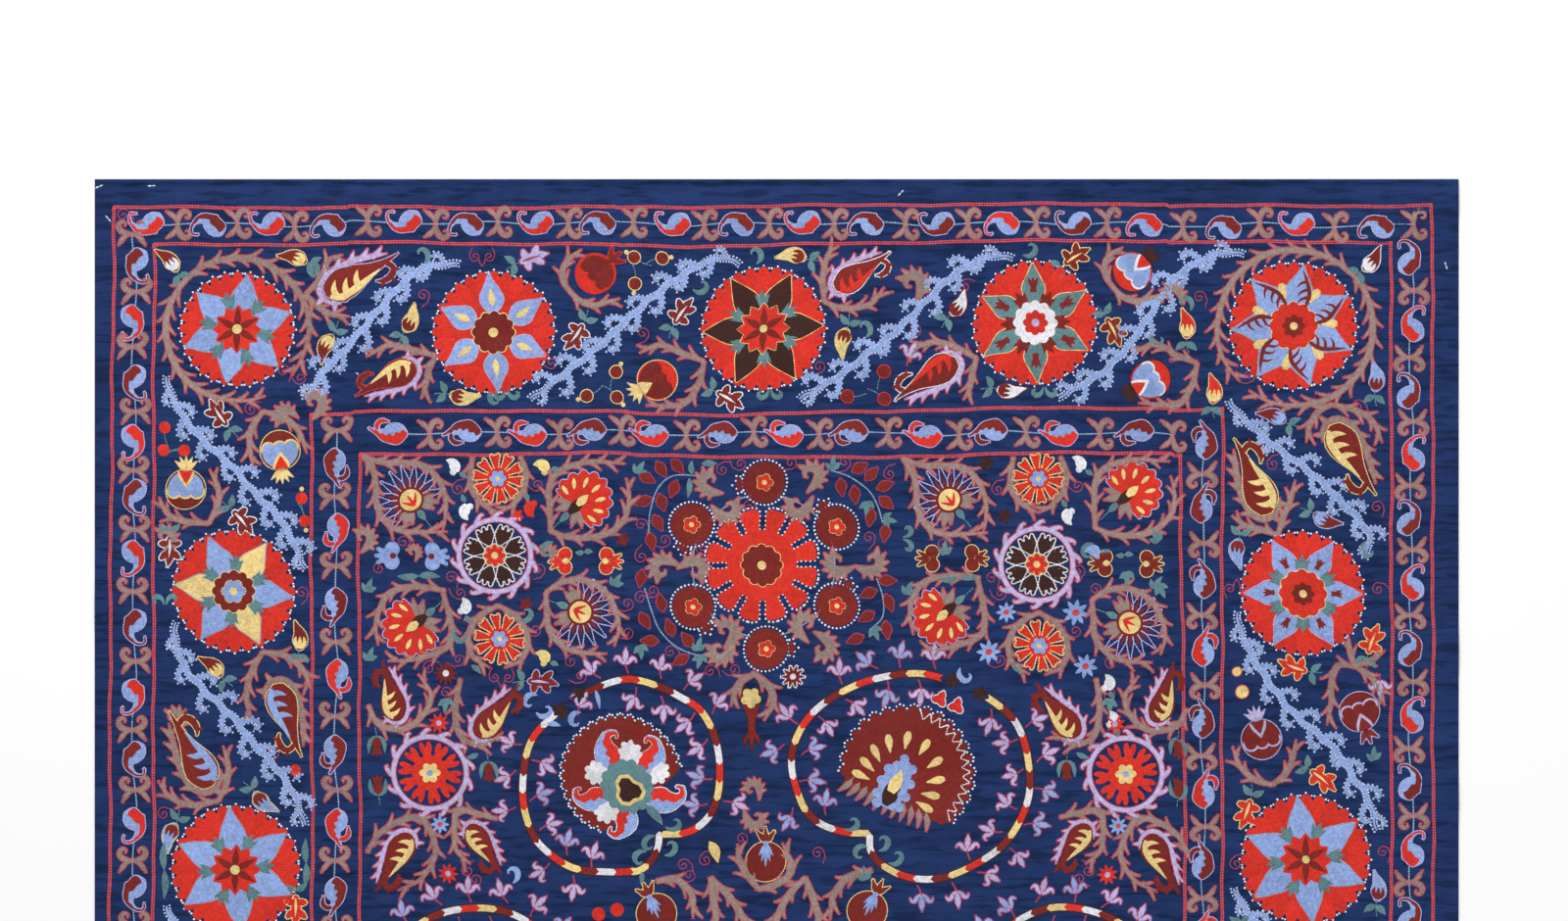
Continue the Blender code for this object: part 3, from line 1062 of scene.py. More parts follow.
BAND_MOTIFS = (
    # motif, its threads and sizes, its places: (x, y, turn)
    ("drop", ("white", "maroon"), ((174, 269, -122),)),
    ("drop", ("cream", "maroon"), ((302, 263, 205), (334, 352, 120))),
    ("drop", ("maroon", "cream"), ((418, 331, -60), (471, 406, 12), (811, 263, 195), (861, 347, 108))),
    ("drop", ("maroon", "white", "maroon"), ((976, 314, -50), (1028, 400, 10))),
    ("drop", ("cream", "scarlet"), ((1211, 333, -90), (1239, 400, -85))),
    ("drop", ("white", "maroon", "white"), ((1398, 266, -42),)),
    ("drop", ("maroon", "sky", "lilac"), ((1405, 387, -84),)),
    ("drop", ("sky", "maroon", "lilac"), ((1302, 425, -152),)),
    ("drop", ("cream", "maroon"), ((305, 652, -85), (219, 682, -130))),
    ("drop", ("maroon", "sky"), ((267, 816, 50), (174, 851, 115))),
    ("drop", ("sky", "maroon", "lilac"), ((1351, 528, 30),)),
    ("drop", ("maroon", "sky", "lilac"), ((1264, 560, 98), (1406, 907, -84))),
    ("big_boteh", (1.06, "cream", "lilac", "lilac"), ((331, 297, -24),)),
    ("big_boteh", (0.86, "cream", "lilac", "coral"), ((425, 378, 157),)),
    ("big_boteh", (0.86, "scarlet", "lilac", "white"), ((851, 293, -30),)),
    ("big_boteh", (0.94, "scarlet", "lilac", "white"), ((977, 370, 150),)),
    ("big_boteh", (1.0, "sky", "taupe", "cream"), ((284.5, 697, 73.5),)),
    ("big_boteh", (1.08, "sky", "taupe", "cream"), ((212, 804, -115),)),
    ("big_boteh", (1.06, "cream", "taupe", "cream"), ((1292, 524, -112), (1362, 431, 62))),
    ("pomegranate", ("maroon", "scarlet", "scarlet", None, "scarlet", "maroon"), ((607, 281, -40),)),
    ("pomegranate", ("maroon", "scarlet", "maroon", "cream", "cream", "cream"), ((672, 388, 150),)),
    ("pomegranate", ("sky", "scarlet", "white", "scarlet", "brown", "brown"),
     ((1155, 277, -40), (1175, 388, 150))),
    ("pomegranate", ("sky", "maroon", "cream", "scarlet", "cream", "cream"),
     ((285, 459, 84), (189, 500, -88))),
    ("pomegranate", ("maroon", "maroon", "lilac", "maroon", "lilac", "lilac"), ((1288, 754, -105),)),
    ("pomegranate", ("maroon", "maroon", "lilac", "maroon", "lilac", "maroon"), ((1388, 724, 70),)),
    ("berry", (), ((647, 264, -145), (676, 264, -10), (647, 291, 95), (630, 382, -60), (599, 406, 160),
      (630, 408, 50))),
    ("berry", ("maroon", "scarlet", None), ((903, 379, -60), (865, 406, 180), (903, 407, 40))),
    ("berry", ("scarlet", None), ((308, 508, -90), (311, 531, 80))),
    ("berry", ("scarlet", None, None), ((168, 437, -90), (167, 460, 180), (188, 460, 0), (302, 786, 20))),
    ("leaf_flower", (), ((588, 344, 120), (695, 319, -60), (744, 406, 28))),
    ("leaf_flower", ("maroon", "cream"), ((1096, 263, -35), (1136, 337, 60))),
    ("leaf_flower", (), ((224, 424, -125), (247, 530, 45), (174, 561, 90))),
    ("leaf_flower", ("scarlet", "cream"),
     ((303, 926, 90), (1399, 652, -75), (1320, 680, 196), (1349, 793, 35), (1272, 828, 105))),
    ("leaf_flower", ("lilac", "rose"), ((542, 264, -20),)),
    ("star", ("cream", "cream", "coral", 0, 4.5), ((1262, 685, 0),)),
    ("star", ("cream", "cream", "coral", 0, 6.5), ((1268, 706, 0),)),
    ("acanthus", (0.9,), ((322, 412, -60),)), ("acanthus", (0.8,), ((291, 424, -150),)),
    ("acanthus", (1.0,), ((931, 290, -80),)),
    ("acanthus", (0.8,), ((170, 549, -60), (180, 735, -60), (1196, 300, -120))),
    ("scroll_pair", (), ((518, 404, 90), (786, 404, 90), (169, 612, -90), (1066, 402, 90))),
    ("leaf", (30, 4, "sage"), ((168, 888, -90), (168, 888, 90))),
    ("leaf", (25, 4, "sage"), ((312, 880, -90), (312, 880, 90))),
    ("comma", (), ((715, 293, 20), (771, 260, -60), (883, 336, -60), (1051, 257, 0), (1181, 347, 90),
      (1209, 308, -90), (506, 406, 150))),
    ("cut_leaf", (), ((1403, 774, -90),)), ("comma", (), ((318, 274, -60), (432, 262, -60))),
    ("pomegranate", ("sky", "maroon", "cream", "scarlet", "cream", "cream"), ((286, 987, -96),)),
    ("pomegranate", ("maroon", "maroon", "lilac", "maroon", "lilac", "lilac"), ((1380, 985, -85),)),
    ("drop", ("cream", "maroon"), ((180, 1006, -85),)),
    ("drop", ("maroon", "sky", "lilac"), ((1278, 1008, -95),)),
    ("leaf_flower", ("scarlet", "cream"), ((1270, 958, 80),)),
    ("spiral", (), ((166, 968, -60), (304, 952, 60), (126, 220, 20), (290, 378, 60), (307, 386, -140),
      (431, 303, 90))),
    ("double_spiral", (), ((492, 263, -90),)),
    ("spiral", (), ((257, 417, -40), (656, 341, 110), (564, 372, 200), (837, 375, 150), (984, 293, -30),
      (934, 337, 120), (1223, 302, 60), (1275, 383, 140), (166, 831, 0), (280, 766, 120), (308, 604, 90),
      (1298, 473, -60), (1405, 516, 60))),
    ("double_spiral", (), ((1262, 600, 90),)),
    ("spiral", (), ((1407, 599, 0), (1261, 881, -60), (1411, 868, 60), (1386, 412, 30))),
    ("sprig", (), ((927, 364, -60), (1408, 693, 90))), ("comma", (), ((1396, 560, 120),)),
    ("spiral", (), ((1342, 430, 10),)),
)
CORNER_ARCS = (
    # the thorny branches round the corner rosettes: x, y, radius, start, sweep
    (242.5, 336, 73, -135, 174), (242.5, 336, 73, -135, -158), (1321, 333, 79, -45, -180),
    (1321, 333, 80, -45, 170),
)
BAND_BRANCHES = (
    # thorny branches of the wide band: points from the foot to the tip
    ((581, 299), (574, 288), (576, 271), (593, 257)), ((581, 299), (592, 309), (607, 313), (632, 307)),
    ((719, 369), (697, 361), (674, 352), (653, 361)), ((719, 369), (713, 394), (697, 413), (660, 414)),
    ((841, 309), (839, 282), (845, 260), (856, 252)), ((841, 309), (862, 316), (888, 311), (901, 294)),
    ((445, 364), (417, 358), (397, 355), (375, 366)), ((445, 364), (438, 380), (436, 394), (431, 408)),
    ((312, 300), (327, 284), (335, 266), (349, 261)), ((312, 300), (324, 313), (338, 321), (356, 323)),
    ((1134, 293), (1127, 282), (1129, 265), (1146, 253)),
    ((1134, 293), (1145, 303), (1160, 307), (1185, 301)),
    ((1222, 369), (1200, 361), (1177, 352), (1156, 361)),
    ((1222, 369), (1216, 394), (1200, 413), (1163, 412)),
    ((997, 366), (974, 354), (950, 350), (926, 360)), ((997, 366), (992, 384), (990, 398), (984, 408)),
    ((269, 419), (290, 425), (305, 440), (312, 462)), ((269, 419), (256, 438), (254, 455), (258, 475)),
    ((214, 535), (222, 515), (222, 498), (214, 480)), ((214, 535), (190, 533), (172, 525), (162, 508)),
    ((267, 665), (290, 668), (308, 682), (318, 703)), ((267, 665), (256, 688), (252, 712), (257, 735)),
    ((223, 818), (231, 800), (233, 780), (229, 762)), ((223, 818), (196, 822), (174, 814), (162, 798)),
    ((1304, 546), (1288, 540), (1272, 536), (1257, 526)),
    ((1304, 546), (1310, 526), (1317, 510), (1321, 490)),
    ((1359, 411), (1346, 418), (1337, 432), (1333, 450)),
    ((1359, 411), (1382, 416), (1400, 428), (1410, 450)),
    ((1298, 800), (1313, 788), (1320, 772), (1323, 754)),
    ((1298, 800), (1280, 795), (1266, 782), (1259, 762)),
    ((1382, 678), (1364, 678), (1358, 696), (1359, 716), (1355, 738)),
    ((1382, 678), (1396, 686), (1406, 700), (1413, 718)),
    ((1382, 678), (1377, 664), (1375, 648)), ((1384, 676), (1398, 672), (1412, 662)),
    ((268, 1024), (254, 1010), (254, 992), (261, 972)), ((268, 1024), (290, 1022), (306, 1010), (313, 988)),
    ((1364, 1024), (1350, 1010), (1349, 992), (1356, 972)),
    ((1364, 1024), (1386, 1021), (1402, 1009), (1410, 988)),
)

SQUARE_MOTIFS = (
    # what both squares beside the middle one share, placed for the left one
    ("cut_leaf", (), ((376, 606, -70), (628, 600, -60))),
    ("spiral", (), ((467, 500, -60), (548, 496, 200), (461, 590, 60), (470, 606, 200), (551, 582, 120),
      (546, 644, 200), (468, 674, 160), (582, 677, -30), (412, 555, 60))),
    ("comma", (), ((560, 562, 160),)), ("leaf", (22, 4, "sage"), ((428, 590, 180), (428, 590, 0))),
    ("leaf", (9, 3, "sage"), ((597, 566, 180), (597, 566, 0))),
    ("leaf", (14, 3, "sage"), ((481, 680, 40),)),
)
SQUARE_FLOWERS = (
    # kind, turn, place in the left square, place in the right one
    ("spiky_flower", -128, (419, 512), (968, 510)),
    ("sun", 0, (508, 489), (1059, 490)),
    ("fan_flower", -42, (588, 519), (1148, 508)),
    ("dark_flower", 0, (506, 568), (1059, 578)),
    ("fan_flower", 140, (427, 636), (968, 623)),
    ("sun", 0, (509, 653), (1060, 661)),
    ("spiky_flower", 22, (592, 627), (1152, 636)),
)
LEFT_SQUARE_MOTIFS = (
    # motif, its threads and sizes, its places
    ("bud", ("white",), ((475, 522, 95),)), ("comma", (), ((469, 650, 80), (537, 628, 0))),
    ("acanthus", (0.5,), ((423, 566, -80),)), ("acanthus", (0.6,), ((560, 566, -90),)),
    ("bud", ("white",), ((463, 477, -120),)), ("bud", ("cream",), ((553, 477, -150),)),
    ("bud", ("scarlet",), ((541, 520, 90),)), ("bud", ("white",), ((475, 620, -82),)),
    ("bud", ("cream",), ((554, 672, -130),)),
    ("star", ("scarlet", "scarlet", None, 5, 7), ((528, 527, 20),)),
    ("star", ("maroon", "white", None, 12, 13), ((455, 688, 0),)),
    ("star", ("maroon", "maroon", None, 5, 8), ((537, 617, 0), (636, 552, 0))),
    ("leaf_flower", ("maroon", "lilac"), ((552, 697, 5),)), ("spiral", (), ((438, 683, -30),)),
    ("double_spiral", (), ((512, 692, -90),)), ("spiral", (), ((640, 618, 150), (640, 648, 180))),
    ("cut_leaf", (), ((376, 676, -70),)), ("acanthus", (0.8,), ((372, 552, -60),)),
    ("spiral", (), ((388, 582, 0), (592, 692, 160))),
)
RIGHT_SQUARE_MOTIFS = (
    # motif, its threads and sizes, its places
    ("cut_leaf", (), ((966, 566, -90), (1150, 584, 90))),
    ("bud", ("white",), ((1101, 474, -120), (1090, 528, 90), (1131, 698, -90), (1137, 735, -90))),
    ("star", ("sky", "coral", None, 8, 11), ((1027, 626, 0),)),
    ("star", ("sky", "coral", None, 8, 14), ((1097, 626, 10),)),
    ("star", ("sky", "coral", None, 8, 13), ((1008, 666, 0), (1107, 681, 10))),
    ("star", ("brown", "brown", None, 5, 9), ((1006, 474, 0), (1025, 528, 0))),
    ("bud", ("sky",), ((1116, 563, 200),)), ("cut_leaf", (), ((1184, 552, -120), (1182, 598, 60))),
    ("scroll_pair", (), ((928, 550, 0),)), ("spiral", (), ((1118, 602, 90),)),
)
# x, y and turn of each pair of fruits in the left square.
SQUARE_FRUITS = ((400.7, 568.8, 180), (441.8, 569.8, 0), (577.7, 574.5, 180), (619.8, 574.5, 0))
# How far the branch pairs of the right square stand from those of the left one.
SQUARE_SHIFTS = ((551, 1), (551, 1), (556, -4), (545, -13), (551, 8), (557, 7))
SQUARE_BRANCHES = (
    # points of each branch of the left square, from the foot to the tip
    ((369, 467), (388, 474), (413, 474), (432, 477), (446, 490), (454, 510), (455, 532), (453, 543)),
    ((371, 469), (382, 490), (385, 517), (396, 536), (413, 544), (436, 545), (457, 544)),
    ((482, 467), (480, 486), (482, 502), (495, 517), (509, 524)),
    ((530, 467), (536, 483), (534, 502), (522, 517), (509, 524)),
    ((562, 544), (561, 517), (561, 496), (572, 481), (599, 474), (637, 475)),
    ((562, 543), (580, 550), (603, 551), (625, 544), (639, 529), (642, 508), (638, 490)),
    ((455, 604), (427, 601), (400, 606), (387, 623), (383, 642), (386, 660)),
    ((453, 606), (457, 623), (460, 642), (457, 659), (442, 669), (417, 676), (396, 677)),
    ((509, 619), (488, 631), (477, 650), (482, 671), (499, 682)),
    ((509, 619), (528, 631), (538, 652), (532, 673), (515, 682)),
    ((557, 606), (572, 597), (595, 594), (616, 604), (627, 623), (631, 644), (627, 661)),
    ((557, 606), (558, 627), (561, 646), (576, 663), (595, 668), (618, 669)),
)

MIDDLE_FRUITS = (
    # x, y, turn of the crown
    (780, 493, 176), (854, 539, -124), (853.5, 619, -60), (781, 662.5, 0), (707.5, 619, 60),
    (706.5, 535, 110),
)
MIDDLE_LEAVES = (
    # x, y, turn, mirrored
    (724, 492, -160, True), (742, 520, 35, False), (827, 487, -60, False), (815, 517, 130, True),
    (856, 576, 170, True), (890, 575, 10, False), (677, 580, 190, False), (709, 580, -20, True),
    (741, 645, -60, False), (735, 664, 120, True), (821, 640, -120, True), (839, 661, 40, True),
)
VINES = (
    # points of the stem, then its leaves: (x, y, turn)
    (
        ((722, 487), (703, 485), (684, 487), (670, 500), (664, 523), (663, 544)),
        ((674, 479, 60), (691, 476, 50), (659, 488, 30), (687, 499, 110), (657, 512, 160), (675, 513, 70),
         (672, 534, 60), (665, 553, 80)),
    ),
    (
        ((848, 482), (867, 488), (886, 501), (896, 517), (901, 532)),
        ((876, 478, -30), (888, 484, -45), (902, 496, -20), (858, 498, 80), (872, 505, 80), (904, 513, 40),
         (889, 528, 100), (904, 544, 100)),
    ),
    (
        ((659, 603), (665, 626), (672, 643), (687, 658), (706, 667), (720, 669)),
        ((655, 591, 100), (675, 616, -100), (657, 634, 60), (683, 641, -110), (663, 655, 180),
         (701, 653, -130), (695, 673, 150)),
    ),
    (
        ((896, 592), (901, 609), (900, 630), (888, 643)),
        ((906, 593, 0), (887, 606, 160), (907, 615, 70), (884, 630, 150), (904, 643, 80), (873, 653, 160)),
    ),
)
MIDDLE_MOTIFS = (
    # motif, its threads and sizes, its places
    ("leaf", (14, 3.4, "sage"), ((706, 484, -90),)), ("leaf", (20, 3.4, "sage"), ((703, 488, 95),)),
    ("leaf", (16, 3.6, "sage"), ((716, 473, 0),)),
    ("cut_leaf", (), ((650, 484, -60), (850, 481, -90), (884, 512, 90), (902, 531, 10), (889, 642, 60),
      (712, 664, -80), (714, 668, 100), (652, 660, 80))),
    ("spiral", (), ((737, 479, -40), (755, 474, 200), (806, 473, 160), (861, 473, 120), (907, 484, -60),
      (764, 517, 60), (655, 536, 60), (679, 552, 150), (718, 560, -100), (887, 549, 90), (655, 569, -90),
      (654, 611, 0), (667, 604, 160), (684, 665, 30), (725, 685, 30), (749, 683, 170))),
)

RINGS = (
    # points of the upper two rings, from the gap at the top both ways to the cusp
    ((597, 709), (618, 700), (637, 695.5), (655, 696), (678, 703), (694, 711), (714, 724), (728, 745),
     (734, 768), (734, 793), (732, 812), (725, 830), (711, 844), (695, 851), (676, 852)),
    ((568, 730), (549, 748), (541, 763), (536, 782), (533, 803), (534, 822), (539, 842), (547, 859),
     (560, 872), (579, 885), (597, 891), (618, 892), (634, 891.5), (652, 889), (664, 880), (671, 866),
     (672, 852)),
    ((962, 693), (940, 687.5), (917, 688), (898, 692), (879, 698), (856, 709), (837, 722), (822, 738),
     (813, 755), (809, 771), (809, 790), (813, 808), (821, 827), (837, 842), (860, 850), (885, 850.5)),
    ((1007, 712), (1020, 722), (1036, 738), (1047, 762), (1051, 790), (1048, 818), (1037, 845), (1018, 868),
     (990, 886), (960, 896), (928, 896), (902, 884), (889, 869), (887, 853)),
)
FIELD_MOTIFS = (
    # motif, its threads and sizes, its places
    ("tall_drop", (), ((767, 721, 88),)),
    ("star", ("maroon", "white", "white", 10, 12), ((809, 692, 0),)),
    ("pomegranate", ("maroon", None, None, None, "cream", "maroon", "sky"),
     ((781, 880, -90), (671, 933, -115), (886, 930, -65))),
    ("leaf", (24, 5.5, "cream", "brown"), ((723, 858, 66),)), ("acanthus", (0.7,), ((768, 806, -100),)),
    ("acanthus", (0.8,), ((770, 836, 60),)),
    ("comma", (), ((687, 842, 20), (662, 861, 160), (684, 866, -20), (653, 876, 170))),
    ("leaf", (13, 3, "sage"), ((655, 890, 95),)),
    ("comma", (), ((869, 842, 0), (901, 860, -30), (878, 870, 180), (915, 876, 0))),
    ("cut_leaf", (), ((884, 898, -100),)), ("comma", ("sky",), ((541, 716, 180), (557, 728, 30))),
    ("leaf", (15, 3, "sky"), ((558, 740, 10),)), ("comma", ("sky",), ((588, 736, 160),)),
    ("sprig", (), ((592, 722, -60),)), ("leaf", (20, 2.4, "sky"), ((608, 706, 75),)),
    ("star", ("brown", "brown", None, 5, 10), ((573, 727, 0), (592, 711, 20))),
    ("star", ("brown", "brown", None, 5, 9), ((972, 695, 0), (1000, 708, 0))),
    ("comma", ("sky",), ((985, 690, 90),)),
    ("star", ("scarlet", "scarlet", "white", 3, 9), ((959, 714, -60), (976, 721, -70))),
    ("spiral", (), ((698, 883, 30), (720, 877, -60), (704, 893, 160), (756, 856, 120), (834, 872, 60))),
    ("comma", ("sky",), ((524, 893, -60),)),
    ("star", ("scarlet", "scarlet", None, 0, 7), ((612, 935, 0), (631, 930, 0))),
)
FIELD_BRANCHES = (
    # points of each branch between the rings
    ((770, 687), (754, 698), (746, 720)), ((770, 687), (784, 700), (790, 716), (780, 736)),
    ((775, 908), (764, 894), (754, 877), (752, 862)), ((775, 908), (795, 902), (808, 888), (798, 861)),
    ((726, 895), (728, 915), (731, 938), (722, 962)), ((726, 895), (744, 914), (758, 936), (768, 962)),
    ((822, 897), (806, 914), (794, 936), (786, 962)), ((822, 897), (830, 916), (836, 938), (832, 962)),
    ((670, 900), (690, 898), (706, 912), (708, 936)), ((890, 888), (866, 896), (852, 914), (848, 940)),
    ((670, 968), (650, 985), (645, 1010)), ((898, 968), (914, 985), (922, 1010)),
    ((700, 960), (712, 984), (716, 1010)), ((862, 962), (852, 984), (850, 1010)),
)
COLUMN_MOTIFS = (
    # the left column of the field; the right one mirrors it
    ("big_boteh", (0.78, "cream", "lilac", "maroon", True), ((409, 736, -109),)),
    ("big_boteh", (0.84, "cream", "lilac", "maroon"), ((487, 750, -48),)),
    ("big_boteh", (0.84, "cream", "lilac", "maroon", True), ((415, 853, 116),)),
    ("big_boteh", (0.74, "cream", "lilac", "maroon"), ((480, 843, 58),)),
    ("ring_flower", (), ((439, 790, 0),)),
    ("star", ("scarlet", "lilac", None, 9, 11), ((449, 739, 0),)),
    ("star", ("sky", "coral", None, 8, 10), ((448, 843, 0),)),
    ("star", ("scarlet", "lilac", None, 9, 11), ((458, 893, 0),)),
    ("tulip", (), ((385, 762, 90), (386, 806, -90), (499, 786, 90))), ("spiral", (), ((455, 708, 90),)),
    ("cut_leaf", (), ((454, 714, 90),)), ("spiral", (), ((478, 889, -60), (486, 898, 150))),
    ("leaf", (14, 3, "sage"), ((489, 770, 160),)),
)
COLUMN_BRANCHES = (
    # points of each branch of the left column
    ((377, 722), (388, 742), (413, 746), (432, 732), (440, 711), (427, 690)),
    ((470, 694), (465, 725), (472, 753), (493, 761), (514, 748)),
    ((375, 872), (387, 853), (406, 840), (427, 836), (440, 853), (444, 876), (430, 899), (407, 910)),
    ((507, 836), (484, 830), (467, 828), (463, 845), (465, 868), (480, 882)),
)
CENTRE_MOTIFS = (
    # on the middle line of the cloth, sewn once
    ("ring_flower", (1.6,), ((783, 1030, 0),)),
    ("star", ("sky", "coral", None, 8, 11), ((722, 1030, 0), (845, 1030, 0))),
    ("ring_flower", (1.0,), ((1149, 1030, 0),)),
)


def spike(needle, size, width):
    """A plain pointed thorn leaning forward."""
    spine = np.array(((0, 0), (0.55, -0.35), (1.15, -0.95))) * size
    needle.ribbon(spine, (width, width * 0.7, 0.3), "taupe", "coral", rungs=4)


def branch(needle, points, width, thorn=8.0):
    """A tapering taupe branch along the points, with thorns on both sides in turn."""
    length = lengths_along(spline(points))[-1]
    needle.ribbon(points, (width * 0.7, width, width, width * 0.8, 0.4), "taupe", "coral")
    places = spline(points, max(3, int(length / THORN_SPACING) + 1))
    ahead = np.degrees(np.arctan2(*np.gradient(places, axis=0).T[::-1]))
    for index in range(1, len(places) - 1):
        here = needle.at(*places[index], ahead[index]).both_ways()[index % 2]
        size = thorn * needle.chance.uniform(0.8, 1.2)
        spike(here.at(0, -width * 0.4), size, width * 0.7)


def border_boteh(needle, thread, prongs):
    """A boteh of the borders: round head at +x, tail at -x curled towards -y, sky inside the curl."""
    if prongs:
        spine = ((16, 1), (9, 1), (1, 2), (-7, 3), (-14, 0), (-23, -4))
        hook = ((-14, -1), (-14, -8), (-9, -11.5), (-2, -10.5))
        needle.ribbon(hook, (1.6, 2.2, 2.2, 0.4), thread, "lilac", rungs=8)
        widths = (2.5, 7.4, 9.8, 10.6, 10.2, 8.8, 6.8, 4.8, 3.2, 2.2, 1.3, 0.3)
        border = (0.8, 0.3, 0.0, 0.1, 0.2, 0.4, 0.9)
    else:
        spine = ((17, -2), (9, -3), (2, 1), (-4, 4), (-11, 2), (-17, -5), (-16, -12), (-10, -12))
        widths = (3, 8.2, 10.2, 10.4, 9.4, 7.4, 5.4, 4.0, 2.8, 1.8, 1.3, 1, 0.9, 0.8, 0.6)
        border = (0.9, 0.45, 0.0, -0.05, 0.15, 0.6, 0.92, 0.92)
    needle.ribbon(spine, widths, thread, "lilac", split=("sky", border, 6), rungs=25)


def leaf_pair(needle):
    """Two curled leaves, one on each side of a stem that runs along x."""
    for side in needle.both_ways():
        side.ribbon(((0, 0), (-2, -6), (-6, -10), (-12, -14)), (0.6, 1.7, 2.2, 0.3), "taupe", "coral",
            rungs=7)
        scroll = ((0, 0), (1, -7), (4, -12), (9, -13.5), (12.5, -10), (11, -6.5), (8, -7))
        side.ribbon(scroll, (0.8, 1.9, 2.6, 2.5, 2.0, 1.3, 0.6), "taupe", "coral", rungs=12)


def beside(points, reach):
    """Points on both sides of a path, at a distance from it."""
    aside = headings(points)[1] * reach
    return np.vstack([points + aside, points - aside])


def sew_border_lines(needle):
    """The four frames round the design, each a double row of chain stitch."""
    for run in BORDER_LINES + BORDER_ENDS:
        points = np.asarray(run, float)
        sides = zip(points, points[1:])
        steps = [np.linspace(foot, top, max(2, int(np.hypot(*(top - foot)) / 3))) for foot, top in sides]
        for row in np.split(beside(np.vstack(steps), LINE_SPACING / 2), 2):
            needle.row(row, "coral")


def sew_chain(needle, line, turn, prongs, kinds, botehs, leaves):
    """One side of a border's chain: botehs and leaf pairs on a stem with a small sway."""

    def place(along):
        sway = line + 1.8 * math.sin(along / 21)
        return (sway, along, turn) if turn else (along, sway, turn)

    first, last = min(botehs[0], leaves[0]), max(botehs[-1], leaves[-1])
    stem = np.linspace(first, last, int((last - first) / 3))
    needle.row([place(along)[:2] for along in stem], "mist")
    for along in leaves:
        leaf_pair(needle.at(*place(along)))
    for along, kind in zip(botehs, kinds):
        thread, mirrored = BOTEH_KINDS[kind]
        border_boteh(needle.at(*place(along)).both_ways()[int(mirrored)], thread, prongs)


def fringed_disc(needle, radius):
    """A scarlet disc whose rim is a ring of rounded lobes, with three small white knots round each."""
    lobes = 28
    needle.disc(radius - 5, "scarlet", over=-0.5)
    half = math.pi * (radius - 6) / lobes * 0.97
    for lobe in needle.around(lobes):
        widths = (half * 0.62, half * 0.82, half, half * 0.96, half * 0.5)
        lobe.blade((radius - 22, radius - 10, radius), widths, "scarlet", rungs=6)
        lobe.knots(((radius - 1.2, -half * 0.9), (radius + 1.6, 0), (radius - 1.2, half * 0.9)), "white")


# Half-widths along a petal, as shares of its widest.
PETAL_PROFILES = {
    "pointed": (0.5, 0.9, 1.0, 0.88, 0.64, 0.34, 0.03),
    "drop": (0.1, 0.75, 1.0, 0.9, 0.6, 0.3, 0.03),
}


def petal(needle, start, end, width, thread, edge, over=1, shape="pointed"):
    """A petal along x from one distance to another, widest near its middle or its foot."""
    widths = [width * part for part in PETAL_PROFILES[shape]]
    needle.blade((start, (start + end) / 2, end), widths, thread, edge, over, rungs=9)


def three_leaf(needle, reach, size, thread):
    """A three-toothed leaf: its middle tooth ends at the reach."""
    for angle, length in ((-34, 0.86), (34, 0.86), (0, 1.0)):
        side = needle.at(reach - size, 0, angle)
        side.blade((-size * 0.3, size * 0.4, size * length), (2, size * 0.3, 0.3), thread, over=1, rungs=5)


def sew_rosette(needle, row, heart):
    """One rosette: fringed disc, ring of petals with leaves between, and a flower at its heart."""
    x, y, radius, shape, thread, inner, count, start, leaf, leaf_reach = row
    here = needle.at(x, y)
    fringed_disc(here, radius)
    step = 360 / count
    tip = radius - 3
    for index, side in enumerate(here.around(count, start)):
        between = side.at(0, 0, step / 2)
        if leaf == "cream":
            between.blade((29, 38, 45), (1.0, 3.4, 4.8, 4.6, 2.2), leaf, over=1, rungs=7)
        elif leaf:
            three_leaf(between, leaf_reach + 2, 16, leaf)
        if shape == "pointed":
            own = inner if inner and thread == "sky" and index % 2 else thread
            kind = "drop" if inner == "cream" and thread == "sky" else "pointed"
            petal(side, 16, tip, 13.8, own, "cream" if thread == "brown" else "mist", shape=kind)
        elif shape == "drop":
            petal(side, 19, tip, 12.4, thread, "lilac", shape="drop")
            if inner == "cream":
                petal(side, 27, 46, 3.6, inner, None, over=2, shape="drop")
            else:
                small_tulip(side.at(33, 0), inner)
        elif shape == "tulip":
            petal(side, 18, tip, 12, thread, "cream", shape="drop")
            small_tulip(side.at(36, 0, size=1.3), inner)
        else:
            petal(side, 16, tip, 15, thread, "mist", shape="drop")
            side.ribbon(((21, 9), (34, 11), (47, 6), (58, 0)), (1.2, 2.2, 2.0, 1.6, 0.4), inner, over=2,
                rungs=9)
            for foot, out in ((28, 9), (36, 8.5), (44, 6)):
                side.ribbon(((foot + 3, out), (foot, out - 6), (foot - 5, out - 9)), (1.6, 1.3, 0.3), inner,
                    over=2, rungs=5)
    own, lobes, reach, outline, edge, flower, petals, flower_reach, dot, dot_radius = heart
    here.disc(reach, own, lobes, 6.0 if outline == "point" else 3.0, outline, edge, over=2)
    if petals == 6 and flower == "maroon":
        for side in here.around(6, -90):
            petal(side, 3, flower_reach, 3.6, flower, None, over=3)
    elif petals:
        here.disc(flower_reach, flower, petals, 2.5, edge="cream" if flower == "sky" else None, over=3)
    here.disc(dot_radius, dot, over=4)


def small_tulip(needle, thread):
    """A three-pointed tulip opening along x."""
    for angle in (-28, 28, 0):
        needle.at(0, 0, angle).blade((-4, 2, 8), (1.2, 2.4, 0.3), thread, over=2, rungs=4)


